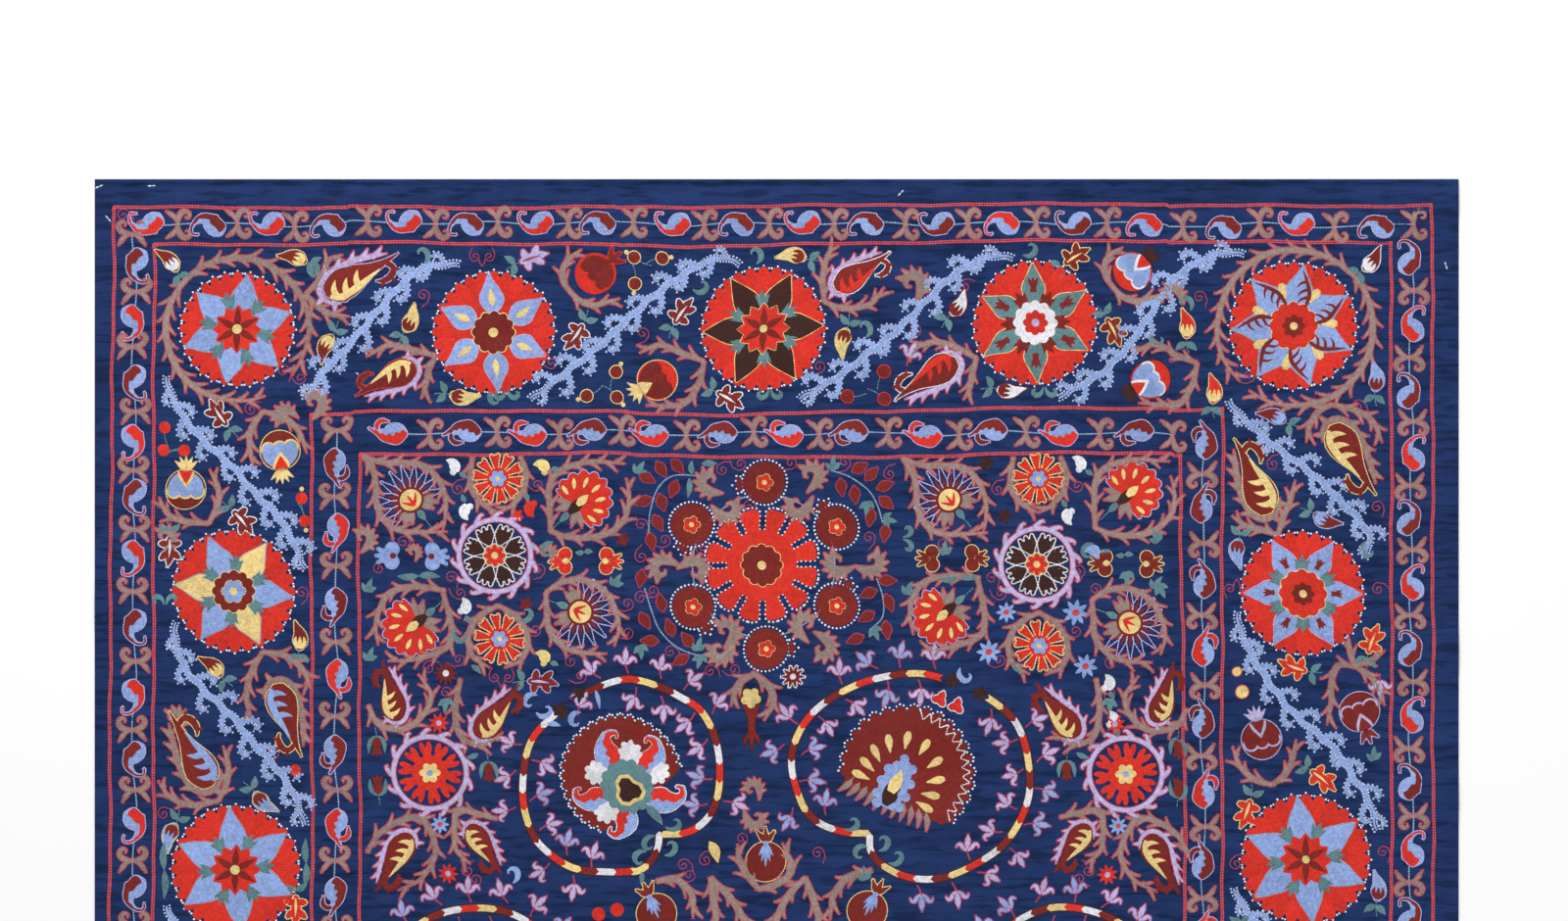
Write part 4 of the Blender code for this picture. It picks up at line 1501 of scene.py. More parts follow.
def sew_feather(needle, points):
    """A feathery sprig: a wavering stem with long curled shoots in turn, all edged with small knots."""
    length = lengths_along(spline(points))[-1]
    middle = spline(points, int(length / 3.0))
    ahead, aside = headings(middle)
    middle = middle + aside * 1.4 * np.sin(np.arange(len(middle)) * 0.75)[:, None]
    needle.ribbon(middle, (0.8, 2.4, 2.9, 2.9, 2.9, 2.9, 2.9, 2.4, 0.8), "sky", rungs=len(middle))
    needle.knots(beside(middle, 3.0), "pearl")
    shoots = round(length / SHOOT_SPACING)
    for index in range(1, shoots):
        station = index * len(middle) // shoots
        turn = math.degrees(math.atan2(*ahead[station][::-1]))
        side = needle.at(*middle[station], turn).both_ways()[index % 2]
        taper = 0.68 if index in (1, shoots - 1) else 1.0
        side = side.at(0, 0, needle.chance.uniform(-16, 8), taper * needle.chance.uniform(0.95, 1.15))
        side.ribbon(SHOOT, (2.8, 2.5, 2.2, 1.9, 1.6, 1.2), "sky", rungs=9)
        side.knots(beside(spline(SHOOT, 8), 2.8)[1:], "pearl")


def leaf(needle, length, width, thread, edge=None, over=0):
    """A pointed leaf along x, bowed a little."""
    bow = ((0, 0), (length * 0.5, -width * 0.3), (length, 0))
    needle.ribbon(bow, (0.4, width * 0.9, width, width * 0.6, 0.3), thread, edge, over, rungs=6)


def stalk_leaves(needle, reach=10.0):
    """A sage stalk running off along -x, with a leaf on each side."""
    needle.line(((-reach, 0), (-reach - 6, 0.5), (-reach - 12, 2)), "sage")
    for side in needle.both_ways():
        leaf(side.at(-reach - 4, 0, 125), 12, 3.4, "sage")


def spiral(needle, radius=6.5):
    """A coiled tendril whose loose end runs off along x."""
    angles = np.radians(np.linspace(-540, -90, 17))
    reach = radius * np.linspace(0.15, 1.0, 17)
    coil = np.column_stack([reach * np.cos(angles), reach * np.sin(angles)])
    tail = ((radius * 1.0, -radius * 0.8), (radius * 1.7, -radius * 0.1))
    needle.row(np.vstack([coil, tail]), "rose")


def double_spiral(needle):
    """Two tendrils that curl away from one stalk along -x."""
    for side in needle.both_ways():
        spiral(side.at(0, 7, 200, flip=True), 5.2)
        side.line(((-9, 0), (-7, 2), (-4, 3)), "rose")


def comma(needle, thread="sage"):
    """A curled leaf, thick at its bend."""
    spine = ((-8, 5), (-2, 6.5), (4, 3), (5, -3), (1, -6), (-2, -4))
    needle.ribbon(spine, (0.4, 2.2, 3.0, 3.2, 2.4, 1.6, 0.8), thread)


def scroll_pair(needle):
    """Two curled leaves back to back on a short stalk along -x."""
    for side in needle.both_ways():
        side.ribbon(((-6, 1), (0, 3), (3, 8), (-1, 12), (-4, 9)), (0.5, 2, 3, 2.6, 0.8), "sage")


def drop(needle, body, tip, edge="cream"):
    """A two-coloured drop: round body at -x, tip of the other colour at +x."""
    needle = needle.at(0, 0, size=1.12)
    needle.ribbon(((-9, 0), (-2, 1), (6, 0), (12, -3), (17, -5)), (2, 6.4, 6.6, 4.6, 2.4, 0.4), tip, edge)
    needle.ribbon(((-8, 0), (-5, 0.3), (-2, 0.6)), (2, 4.8, 5.8, 6.0), body, over=1, rungs=6)
    for y in (-3.8, 0.6, 4.8):
        needle.ribbon(((-3, y), (-0.5, y), (3, y * 0.8)), (1.9, 1.5, 0.3), body, over=1, rungs=4)
    stalk_leaves(needle)


def berry(needle, thread="maroon", edge="cream", tip="cream"):
    """A round berry with a small knob at +x."""
    needle.disc(6.2, thread, edge=edge)
    if tip:
        needle.at(9.4, 0).disc(2.4, tip)
    needle.line(((-8, 0), (-13, 1), (-18, 3)), "sage")


def leaf_flower(needle, thread="maroon", edge="white"):
    """A flower like an oak leaf: a long body to +x, two pairs of round side lobes and a light vein."""
    needle = needle.at(0, 0, size=1.12)
    for side in needle.both_ways():
        side.at(3, 2, 50).blade((-3, 3, 9), (2, 3.0, 3.2, 1.2), thread, edge, rungs=6)
        side.at(-5, 2, 92).blade((-3, 3, 8), (2, 2.8, 3.2, 1.2), thread, edge, rungs=6)
    needle.ribbon(((-11, 0), (-2, 0), (6, 0), (16, 2)), (1.6, 4.0, 4.4, 4.4, 2.8, 0.3), thread, edge,
        rungs=9)
    needle.ribbon(((-9, 0), (0, 0), (8, 1)), (0.4, 1.3, 0.9, 0.2), edge, over=1, rungs=6)
    stalk_leaves(needle, 12)


def pomegranate(needle, body, foot, line, wedge, edge, top, star_thread=None):
    """A pomegranate: crown at +x, wedge below it, and a foot of its own behind a scalloped line."""
    radius = 20
    for angle in (-52, 52, -26, 26, 0) if top == edge else (-40, 40, 0):
        point = needle.at(radius, 0, angle)
        point.blade((-2, 6, 15), (2.4, 2.8, 0.3), top, edge if top != edge else None, rungs=5)
    needle.disc(radius, foot or body, edge=edge)
    if foot:
        for y in (-11.5, 0, 11.5):
            lobe = needle.at(-2, y)
            lobe.disc(8.2, line, over=1)
            lobe.disc(6.2, body, over=2)
        needle.disc(radius - 1.6, body, cut=(180, 2), over=3)
    if wedge:
        needle.blade((radius - 2, 10, 2), (8.8, 8.0, 4.4, 0.8), line, over=4, rungs=6)
        needle.blade((radius - 1, 12, 6), (6.6, 5.8, 3.0, 0.3), wedge, over=5, rungs=5)
    if star_thread:
        heart = needle.at(radius - 3, 0, 180)
        for angle, length in ((-34, 13), (34, 13), (-15, 17), (15, 17), (0, 22)):
            ray = heart.at(0, 0, angle)
            ray.blade((-4, length * 0.5, length), (1.4, 2.5, 0.3), star_thread, None, 1, rungs=5)


def big_boteh(needle, size, field, mane, edge, mirrored=False):
    """A large boteh, round foot to hooked tail along x: a toothed field in it, a mane behind."""
    here = needle.both_ways()[int(mirrored)].at(0, 0, 16.5, size).at(30, -5.5)
    back = ((-16, 20), (-28, 17), (-35, 5), (-29, -8), (-12, -16), (10, -19.5), (34, -20.5))
    for x, y, angle in ((-29, -7, -66), (-18, -13, -44), (-5, -17, -34), (8, -19, -28), (21, -20, -22)):
        here.at(x, y, angle).ribbon(((-2, 0), (5, -0.5), (12, -4)), (2.2, 2.5, 0.3), mane, "coral", rungs=5)
    for x, y, angle in ((-33, 12, 118), (-22, 18, 78)):
        here.at(x, y, angle).ribbon(((-2, 0), (3, 0.5), (9, 3)), (2.0, 2.3, 0.3), mane, "coral", rungs=5)
    here.ribbon(back, (0.6, 2.2, 2.6, 2.4, 2.6, 2.6, 2.3, 0.5), mane, "coral", rungs=22)
    hook = ((32, -12), (38, -6), (35, 1), (27, 5), (20, 4))
    here.ribbon(hook, (2.6, 2.6, 3.2, 2.8, 0.4), "maroon", edge, over=1, rungs=12)
    for x, y, angle in ((38, -5, 10), (34, 2, 60), (27, 5, 110)):
        here.at(x, y, angle).blade((-3, 2, 7), (1.8, 2.0, 0.3), "maroon", over=1, rungs=5)
    spine = ((-30, 5.5), (-14, 3), (3, -3), (20, -9), (34, -14), (45, -19))
    widths = (5, 13, 15.8, 15.4, 13, 9.6, 6.4, 4.2, 2.6, 1.4, 0.3)
    here.ribbon(spine, widths, "maroon", edge, over=1, rungs=26)
    inner = ((-25, 12), (-15, 14), (-1, 9), (12, 1), (25, -7))
    here.ribbon(inner, (1.5, 3.6, 3.8, 3.0, 2.0, 0.4), field, over=2, rungs=10)
    for x, y in ((-19, 12), (-8, 11), (3, 6)):
        tooth = here.at(x, y, -112)
        tooth.ribbon(((0, 0), (5, 0), (10, 2.5), (14, 6)), (3.4, 3.0, 2.0, 0.3), field, over=2, rungs=6)


def star(needle, thread, heart, edge, points, radius):
    """A small pointed flower with a dot at its heart."""
    needle.disc(radius, thread, points, radius * 0.5, "point", edge)
    needle.disc(radius * 0.26, heart, over=1)


def sun(needle, ring=False, size=0.86):
    """A flower of ten broad petals with notched tips round a six-lobed heart."""
    here = needle.at(0, 0, size=size)
    here.disc(17, "scarlet")
    outline = ((14, 2.9), (19, 4.2), (24, 5.4), (28, 6.2), (30.5, 4), (27.5, 0))
    outline += tuple((x, -y) for x, y in outline[-2::-1])
    for side in here.around(10, 9):
        side.blade((12, 18, 25.5), (3.0, 3.6, 4.6, 5.2), "scarlet", rungs=5)
        for angle in (-7.5, 7.5):
            side.at(0, 0, angle).blade((21, 26, 30.5), (2.2, 2.7, 2.6, 1.2), "scarlet", rungs=4)
        if not ring:
            side.line(outline, "cream", over=1)
    here.disc(10.5, "cream" if ring else "sky", 6, 3, over=2)
    here.disc(3, "sky" if ring else "cream", over=3)


def thorn_ring(needle, count):
    """A lilac ring with leaning thorns outside it."""
    path = circle(THORN_RING_RADIUS, 40)
    needle.ribbon(np.vstack([path, path[:1]]), (2.2, 2.2), "lilac", "coral", rungs=44)
    for index in range(count):
        root = needle.at(0, 0, 360 * (index + 0.5) / count).at(THORN_RING_RADIUS + 1, 0, 88)
        spine = ((-3, 0), (0.5, -3.5), (5, -6.5), (7, -4.5))
        root.ribbon(spine, (2.4, 2.2, 1.6, 0.5), "lilac", "coral", rungs=7)


def fan_flower(needle):
    """A scalloped fan that opens along x from an eye, with drops in it and sepals behind."""
    for angle in (-150, -125, 125, 150):
        needle.at(4, 0, angle).blade((8, 16, 25), (3, 3.6, 0.4), "taupe", "coral", rungs=5)
    needle.at(9, 0).disc(31, "scarlet", 15, 4.5, edge="lilac", cut=(180, 13))
    for index in range(7):
        turn = -81 + 27 * index
        far = 7 * math.cos(math.radians(turn))
        places = (14 + far, 19 + far, 25 + far)
        needle.at(0, 0, turn).blade(places, (0.4, 2.0, 2.3, 0.6), "cream", over=1, rungs=5)
    needle.blade((-10, -2, 6), (1.5, 4.8, 5.6, 4.6), "brown", over=1, rungs=6)
    needle.blade((2, 9, 17), (2, 4.6, 3.8, 0.4), "cream", over=2, rungs=6)
    bud_stalk(needle.at(-10, 0))


def bud_stalk(needle):
    """A sage bud and its stalk running off along -x."""
    needle.blade((0, -6, -12), (2, 4, 3.4, 0.8), "sage", rungs=5)
    needle.line(((-12, 0), (-22, 0.5)), "sage")


def spiky_flower(needle):
    """A round eye with open pointed petals outlined in lilac along x, and two broad sepals behind."""
    for side in needle.both_ways():
        for angle, length in ((118, 22), (136, 27), (153, 25)):
            side.at(0, 2, angle).blade((8, 17, length), (2.0, 3.6, 3.0, 0.4), "taupe", "coral", rungs=6)
    for index in range(11):
        side = needle.at(0, 0, -110 + 22 * index)
        side.blade((11, 22, 36), (2.0, 3.3, 1.9, 0.2), None, "lilac", rungs=7)
        side.blade((10, 16, 25), (2.4, 1.6, 0.3), "maroon", rungs=4)
    needle.disc(13.5, "maroon", over=1)
    needle.disc(11, "cream", over=2)
    for angle in (-40, 40, 0):
        needle.at(-7, 0, angle).blade((0, 6, 13), (1.2, 1.8, 0.3), "scarlet", over=3, rungs=4)
    bud_stalk(needle.at(-14, 0))


def dark_flower(needle):
    """Eight dark toothed petals edged white, round a red flower, inside a thorny ring."""
    thorn_ring(needle, 14)
    for side in needle.around(8, 22):
        side.blade((12, 20, 27), (1.8, 4.6, 7.4, 8.2, 7.2), "brown", "white", rungs=6)
        for angle in (-12, 0, 12):
            side.at(0, 0, angle).blade((24, 31.5), (2.6, 2.2, 0.6), "brown", "white", rungs=4)
    needle.disc(11.5, "scarlet", 8, 3.5, edge="cream", over=1)
    needle.disc(3.6, "cream", over=2)


def bud(needle, thread):
    """A plump bud with a bent tip at +x and a small sage leaf at its foot."""
    needle.ribbon(((-7, 0), (-1, 1), (5, 0), (9, -4)), (2, 5.6, 5.8, 3.4, 0.4), thread, rungs=8)
    needle.at(-5, -4).disc(3.4, thread)
    leaf(needle.at(-9, 1, 150), 9, 3, "sage")


def twin_fruit(needle, thread, edge, heart):
    """Two round lobes side by side with a three-pointed crown at +x."""
    for angle in (-32, 32, 0):
        needle.at(3, 0, angle).blade((0, 7, 14), (1.6, 2.4, 0.3), thread, edge, rungs=5)
    for side in needle.both_ways():
        side.at(0, 6.5).disc(6.8, thread, edge=edge)
    needle.at(-1, 0).disc(3.2, heart, over=1)


def sprig(needle, stem=9.0, thread="lilac"):
    """A small sprig: a pointed leaf at +x between two curled ones, on a thin bent stem."""
    needle.ribbon(((-stem, 4), (-stem / 2, 1.6), (1, 0)), (0.8, 0.9, 0.9), "rose", rungs=5)
    for side in needle.both_ways():
        curl = ((0, 0.5), (2.5, 4.4), (6.5, 7), (6.8, 10.4), (3, 11.6))
        side.ribbon(curl, (0.8, 1.6, 2.1, 2.0, 1.3, 0.5), thread, "rose", rungs=8)
    needle.blade((1, 8, 17), (0.6, 2.7, 2.7, 0.3), thread, "rose", rungs=7)


def tulip(needle):
    """A maroon tulip at +x in a sage cup, on a stalk."""
    for side in needle.both_ways():
        side.ribbon(((-8, 1), (-5, 6), (2, 8), (9, 8)), (1, 2.2, 2.2, 0.4), "sage", rungs=7)
    needle.blade((-7, -1, 5), (2, 5, 4.6, 3), "maroon", rungs=6)
    for angle in (-36, 36, 0):
        needle.at(4, 0, angle).blade((-2, 4, 9), (2, 2.8, 0.3), "maroon", rungs=5)
    needle.line(((-8, 0), (-16, 1)), "sage")


def ring_flower(needle, size=1.0):
    """A flower with forked petals inside a thorny ring."""
    here = needle.at(0, 0, size=size)
    thorn_ring(here, 13)
    sun(here, ring=True, size=1.05)


def acanthus(needle, size=1.0):
    """A toothed leaf that curls round on itself, with its foot at -x."""
    here = needle.at(0, 0, size=size)
    for angle in (118, 88, 58, 28, -2, -34, -68):
        here.at(0, 0, angle).ribbon(((7, 0), (12, -1), (18, -4)), (3.6, 2.8, 0.3), "taupe", "coral",
            rungs=5)
    path = ((-17, 6), (-9, 8), (0, 8.5), (7, 5), (8.5, -2), (4, -8), (-3, -7), (-3, -2))
    here.ribbon(path, (0.8, 3, 4.4, 4.8, 4.6, 4, 3, 2, 0.7), "taupe", "coral", rungs=15)


def vine(needle, points, leaves):
    """A thin stem along the points with leaves beside it: (x, y, turn)."""
    needle.line(points, "mist")
    for x, y, turn in leaves:
        needle.at(x, y, turn).blade((-8, 0, 9), (0.6, 4.8, 5, 3.2, 0.4), "maroon", "rose", rungs=7)


def cut_leaf(needle):
    """Two short pointed leaves and a long one, as a bird's foot."""
    for angle, length in ((-50, 11), (45, 10), (0, 15)):
        leaf(needle.at(0, 0, angle), length, 3.2, "sage")


def picot_fruit(needle, crown_turn):
    """A round fruit edged with white knots, a five-lobed flower on it and a small crown."""
    top = needle.at(0, 0, crown_turn)
    for angle in (-34, 34, 0):
        top.at(20, 0, angle).blade((0, 5, 11), (1.8, 2.4, 0.5), "maroon", rungs=5)
    top.knots(((24, -8), (28, -9), (29, -4), (33, 0), (29, 4), (28, 9), (24, 8)), "white")
    needle.disc(21, "maroon")
    needle.knots(circle(23, 36), "white")
    needle.disc(8.6, "scarlet", 5, 2.6, edge="cream", over=1)
    needle.disc(2.6, "cream", over=2)


def banded_ring(needle, points, closed=False, first=0):
    """A ring of white, scarlet, cream and maroon bands whose ends are notched like arrows."""
    threads = ("maroon", "white", "scarlet", "cream")
    path = spline(points, closed=closed)
    along = lengths_along(path)
    bands = max(1, round(along[-1] / BAND_LENGTH))
    ahead, outward = headings(path)
    length = along[-1] / bands
    for band in range(bands):
        stations = np.linspace(band * length, (band + 1) * length, 7)
        middle = values_along(stations, along, path)
        forward = values_along(stations, along, ahead)
        forward /= np.hypot(*forward.T)[:, None]
        aside = np.column_stack([-forward[:, 1], forward[:, 0]])
        columns = ((-1.0, 0.0, FILL_EDGE), (0.0, 3.2, FILL_CROWN), (1.0, 0.0, FILL_EDGE))
        grid = [middle + aside * side * BAND_HALF_WIDTH + forward * notch for side, notch, _ in columns]
        points = np.stack(grid, axis=1)
        heights = np.broadcast_to([height for *_, height in columns], points.shape[:2])
        across = np.tile((-BAND_HALF_WIDTH, 0, BAND_HALF_WIDTH), (7, 1))
        uvs = np.stack([np.repeat(stations[:, None], 3, 1), across], -1)
        needle.grid(points, heights, uvs, threads[(band + first) % 4])
    for side in (1, -1):
        needle.row(path + side * outward * (BAND_HALF_WIDTH + 0.9), "brown")


def branches(needle, table, width=2.5):
    """Sew every thorny branch of a table."""
    for points in table:
        branch(needle, points, width)


def motifs(needle, table):
    """Sew every motif of a table: its name, its own threads and sizes, its places and turns."""
    for name, own, places in table:
        for x, y, turn in places:
            MOTIFS[name](needle.at(x, y, turn), *own)


def sew_square(needle, right, fruit, fruit_edge):
    """One of the squares beside the middle one."""
    shared = needle.at(551, 1) if right else needle
    for index, points in enumerate(SQUARE_BRANCHES):
        shift = SQUARE_SHIFTS[index // 2] if right else (0, 0)
        branches(needle.at(*shift), (points,))
    for kind, turn, left_place, right_place in SQUARE_FLOWERS:
        place = right_place if right else left_place
        MOTIFS[kind](needle.at(*place, turn))
    motifs(shared, SQUARE_MOTIFS)
    motifs(needle, RIGHT_SQUARE_MOTIFS if right else LEFT_SQUARE_MOTIFS)
    for index, (x, y, turn) in enumerate(SQUARE_FRUITS):
        own = (fruit, fruit_edge) if index < 2 else ("scarlet" if fruit == "sky" else fruit, "cream")
        twin_fruit(shared.at(x, y, turn), *own, heart="cream" if index > 1 else "maroon")


def sew_middle_square(needle):
    """The middle square: a slotted sun, six fruits and four corner vines."""
    here = needle.at(778.3, 577.2)
    for side in here.around(12, 15):
        side.blade((29, 42, 57), (7.6, 6.6, 7.0, 8.4, 9.8, 10.2, 7.6), "scarlet", rungs=9)
        rim = ((36, 7), (40, 7.4), (44.5, 8.6), (49, 10.2), (53.5, 11), (57.4, 8.6), (59, 4.6), (59.4, 0.8))
        for end in side.both_ways():
            end.knots(rim, "white")
    here.disc(36, "scarlet", over=0.8)
    here.disc(21.5, "maroon", 12, 2.6, edge="cream", over=2)
    here.disc(4.6, "cream", over=3)
    needle.at(780, 578).row(circle(73, 60), "mist", closed=True)
    for x, y, turn, mirrored in MIDDLE_LEAVES:
        acanthus(needle.at(x, y, turn).both_ways()[int(mirrored)], 0.95)
    for x, y, turn in MIDDLE_FRUITS:
        picot_fruit(needle.at(x, y), turn)
    for stem, leaves in VINES:
        vine(needle, stem, leaves)
    motifs(needle, MIDDLE_MOTIFS)


def ring_sprigs(needle, points, closed=False, taken=()):
    """Small sprigs on both sides of a ring, leaning in turn, wider apart inside, none on a taken place."""
    path = spline(points, closed=closed)
    along = lengths_along(path)
    half_way = len(path) // 2
    ahead = path[half_way + 1] - path[half_way]
    inward = path.mean(axis=0) - path[half_way]
    inner_side = 1 if ahead[0] * inward[1] - ahead[1] * inward[0] > 0 else -1
    for side in (1, -1):
        count = round(along[-1] / (SPRIGS_INSIDE if side == inner_side else SPRIGS_OUTSIDE))
        for index in range(count):
            stations = (index + 0.5) * along[-1] / count + np.array((-2.0, 0.0, 2.0))
            before, place, after = values_along(stations, along, path)
            turn = math.degrees(math.atan2(*(after - before)[::-1]))
            lean = needle.chance.uniform(4, 30) * (1 if index % 2 else -1)
            here = needle.at(*place, turn + 90 * side).at(needle.chance.uniform(14, 18), 0, lean)
            thread = needle.chance.choice(("lilac", "lilac", "sky"))
            middle = here.placed([(8, 0)])[0]
            if all(math.dist(middle, other) > SPRIG_CLEARANCE for other in taken):
                sprig(here.at(0, 0, size=needle.chance.uniform(0.9, 1.02)), 10, thread)


def curled_petal(needle, size, mirrored):
    """A long petal that hooks over at its tip, scarlet and sky, edged white."""
    here = needle.both_ways()[int(mirrored)].at(20, 0, size=size)
    spine = ((0, 0), (10, 1), (22, 0), (31, -7), (29, -15), (24, -14))
    widths = (4, 8, 10.5, 11, 9.6, 7, 4.4, 2.8, 1.8, 0.8)
    here.ribbon(spine, widths, "scarlet", "white", over=1, split=("sky", (0.3, 0.1, 0.0, 0.2, 0.6, 0.9), 5),
        rungs=18)


def great_flower(needle):
    """The great flower of a ring: picoted disc, curled petals, white and sage scallops, dark eye."""
    rim = needle.disc(61, "maroon", 36, 4, cut=(50, 34))
    away = np.cos(np.arctan2(rim[:, 1], rim[:, 0]) - math.radians(50)) < 0.5
    needle.knots(rim[away] * 1.025, "white")
    here = needle.at(6, 11)
    for angle, place in ((-84, 34), (-156, 33), (130, 34), (-28, 35)):
        here.at(0, 0, angle).at(place, 0).disc(13.5, "white", 8, 3.6, over=1)
    petals = (
        # turn, size, mirrored
        (-120, 1.12, True), (-49, 1.12, False), (18, 1.15, False), (94, 1.0, True), (159, 1.05, True)
    )
    for angle, size, mirrored in petals:
        curled_petal(here.at(0, 0, angle), size, mirrored)
    here.disc(28, "sage", 14, 3.2, over=2.6)
    here.at(2, 4).disc(17.5, "cream", 3, 5, over=3.6)
    here.at(2, 4).disc(13.5, "brown", 3, 5, over=4.6)
    leaf(here.at(18, 18, 50), 27, 5, "sage", over=2)


def great_fan(needle):
    """The other great flower: a broad picoted fan with cream drops round a tall blue eye."""
    for index in range(11):
        place = -34 + 8.2 * index
        foot = needle.at(0, 0, 114).at(31, place, (place - 20) * 0.6)
        foot.ribbon(((-4, 0), (7, 0), (18, 3)), (2.4, 2.9, 0.4), "taupe", "coral", rungs=6)
    rim = needle.disc(68, "maroon", 30, 4.5, cut=(114, 35))
    away = np.cos(np.arctan2(rim[:, 1], rim[:, 0]) - math.radians(114)) < 0.42
    needle.knots(rim[away] * 1.025, "white")
    turns = np.linspace(-1.35, 0.85, 27)
    reach = 60 + 4 * (-1) ** np.arange(len(turns))
    needle.row(np.column_stack([reach * np.cos(turns), reach * np.sin(turns)]), "white", over=1)
    eye = needle.at(-14, 18)
    for index in range(10):
        angle = -157 + 20.7 * index
        middle = 36 + 18 * math.cos(math.radians(angle + 60)) ** 2
        side = eye.at(0, 0, angle)
        side.blade((middle - 10, middle, middle + 9), (0.4, 2.0, 3.7, 4.1, 1.8), "cream", over=1, rungs=8)
    eye.ribbon(((-10, 16), (-3, 3), (5, -14), (11, -29)), (8, 12.5, 14.5, 13, 11.5, 6), "sky", "lilac",
        over=1, rungs=12)
    for x, y in ((-17, 3), (-12, -10), (-5, -22), (11, -31), (19, -20), (17, -5), (12, 8), (5, 18),
        (-18, 13)):
        eye.at(x, y).disc(5, "sky", over=1)
    eye.ribbon(((-10, 15), (-3, 4), (2, -6)), (3, 7.6, 8.4, 6.4), "brown", over=2)
    eye.ribbon(((-3, 2), (3, -8), (8, -20)), (4, 6.8, 5, 0.5), "cream", over=3)


def tall_drop(needle):
    """A long drop with a cream head at -x and a maroon body that ends in three roots at +x."""
    needle.blade((-14, 0, 16, 34), (9, 10.5, 8.5, 5.5, 3.6, 3.2, 3, 2.4), "maroon", "brown")
    for side in needle.both_ways():
        side.ribbon(((26, 1), (33, 6), (40, 8)), (2, 1.8, 0.3), "maroon", "brown", rungs=5)
    needle.blade((26, 36, 46), (2.4, 2, 0.3), "maroon", "brown", rungs=5)
    needle.at(-9, 0).disc(11, "cream", 5, 3, over=1, edge="brown")


def sew_field(needle):
    """The two whole rings of the upper half, their flowers, sprigs and the motifs between."""
    places = [place for *_, places in FIELD_MOTIFS for place in places]
    taken = [point for place in places for point in needle.at(*place).placed(((0, 0), (23, 0)))]
    for index, points in enumerate(RINGS):
        banded_ring(needle, points, first=index)
        ring_sprigs(needle, points, taken=taken)
    great_flower(needle.at(634, 793))
    great_fan(needle.at(926, 788))
    branches(needle, FIELD_BRANCHES, 3.0)
    motifs(needle, FIELD_MOTIFS)


def sew_columns(needle):
    """The columns of botehs at both sides of the rings; the right one mirrors the left one."""
    for here in (needle, needle.at(1588, 0, flip=True)):
        branches(here, COLUMN_BRANCHES)
        motifs(here, COLUMN_MOTIFS)


def sew_centre(needle):
    """The rings and flowers on the middle line of the cloth."""
    for x, mirrored in ((487, False), (1090, True)):
        here = needle.at(x, 1030, flip=mirrored)
        outline = circle(1.0, 24) * (101, 103)
        banded_ring(here, outline, closed=True)
        ring_sprigs(here, outline, closed=True)
        great_flower(here)
    motifs(needle, CENTRE_MOTIFS)


MOTIFS = {
    "drop": drop, "big_boteh": big_boteh, "pomegranate": pomegranate, "berry": berry,
    "leaf_flower": leaf_flower, "star": star, "acanthus": acanthus, "scroll_pair": scroll_pair,
    "comma": comma,
    "spiral": spiral, "double_spiral": double_spiral, "sprig": sprig, "spiky_flower": spiky_flower,
    "sun": sun,
    "fan_flower": fan_flower, "dark_flower": dark_flower, "bud": bud, "cut_leaf": cut_leaf, "leaf": leaf,
    "tulip": tulip, "ring_flower": ring_flower, "tall_drop": tall_drop,
}


def lay_panel(index, name):
    """One loom width as a closed sheet on its solid's ripples, with the hem and finer creases."""
    settings = bpy.context.scene.suzani_cloth
    columns = max(4, round((CLOTH_RIGHT - CLOTH_LEFT) / 5 / settings.column_pitch))
    rows = max(8, round((CLOTH_HEAD - CLOTH_FOOT) / settings.row_pitch))
    hem = np.array((0.0, HEM_WIDTH, HEM_WIDTH + HEM_STEP))
    inner = np.linspace(CLOTH_FOOT + ROWS_INSET, CLOTH_HEAD - ROWS_INSET, rows)
    heights = np.concatenate([CLOTH_FOOT + hem, inner, CLOTH_HEAD - hem[::-1]])
    left_hem = hem if index == 0 else np.array((0.0, SEAM_VALLEY_WIDTH))
    right_hem = hem if index == len(SEAMS) else np.array((0.0, SEAM_VALLEY_WIDTH))
    y = heights[:, None]
    left = seam_x(SEAMS[index - 1], y) + SEAM_GAP / 2 if index else np.full_like(y, CLOTH_LEFT)
    right = seam_x(SEAMS[index], y) - SEAM_GAP / 2 if index < len(SEAMS) else np.full_like(y, CLOTH_RIGHT)
    share = np.linspace(0, 1, columns + 1)[None, 1:-1]
    between = share * (right - left - 2 * COLUMNS_INSET) + left + COLUMNS_INSET
    x = np.hstack([left + left_hem, between, right - right_hem[::-1]])
    y = np.broadcast_to(y, x.shape)
    top = np.stack([x, y, cloth_top(x, y)], -1)
    under = np.stack([x, y, lift(x, y)], -1)
    row_count, column_count = x.shape
    numbers = np.arange(row_count * column_count).reshape(row_count, column_count)
    lower = numbers + numbers.size
    face = np.stack([numbers[:-1, :-1], numbers[:-1, 1:], numbers[1:, 1:], numbers[1:, :-1]], -1)
    back = np.stack([lower[:-1, :-1], lower[1:, :-1], lower[1:, 1:], lower[:-1, 1:]], -1)
    rims = (
        (numbers[0, ::-1], lower[0, ::-1]),
        (numbers[-1], lower[-1]),
        (numbers[:, 0], lower[:, 0]),
        (numbers[::-1, -1], lower[::-1, -1]),
    )
    sides = [np.stack([rim[:-1], rim[1:], foot[1:], foot[:-1]], -1) for rim, foot in rims]
    faces = np.vstack([face.reshape(-1, 4), back.reshape(-1, 4)] + sides)
    points = np.vstack([top.reshape(-1, 3), under.reshape(-1, 3)])
    mesh = bpy.data.meshes.new(name + "_cloth")
    mesh.from_pydata(points.tolist(), [], faces.tolist())
    mesh.shade_smooth()
    mesh.set_sharp_from_angle(angle=math.radians(50))
    mesh.materials.append(indigo_cotton())
    piece = link(name + "_cloth", mesh)
    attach(piece, "root")
    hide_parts(name)


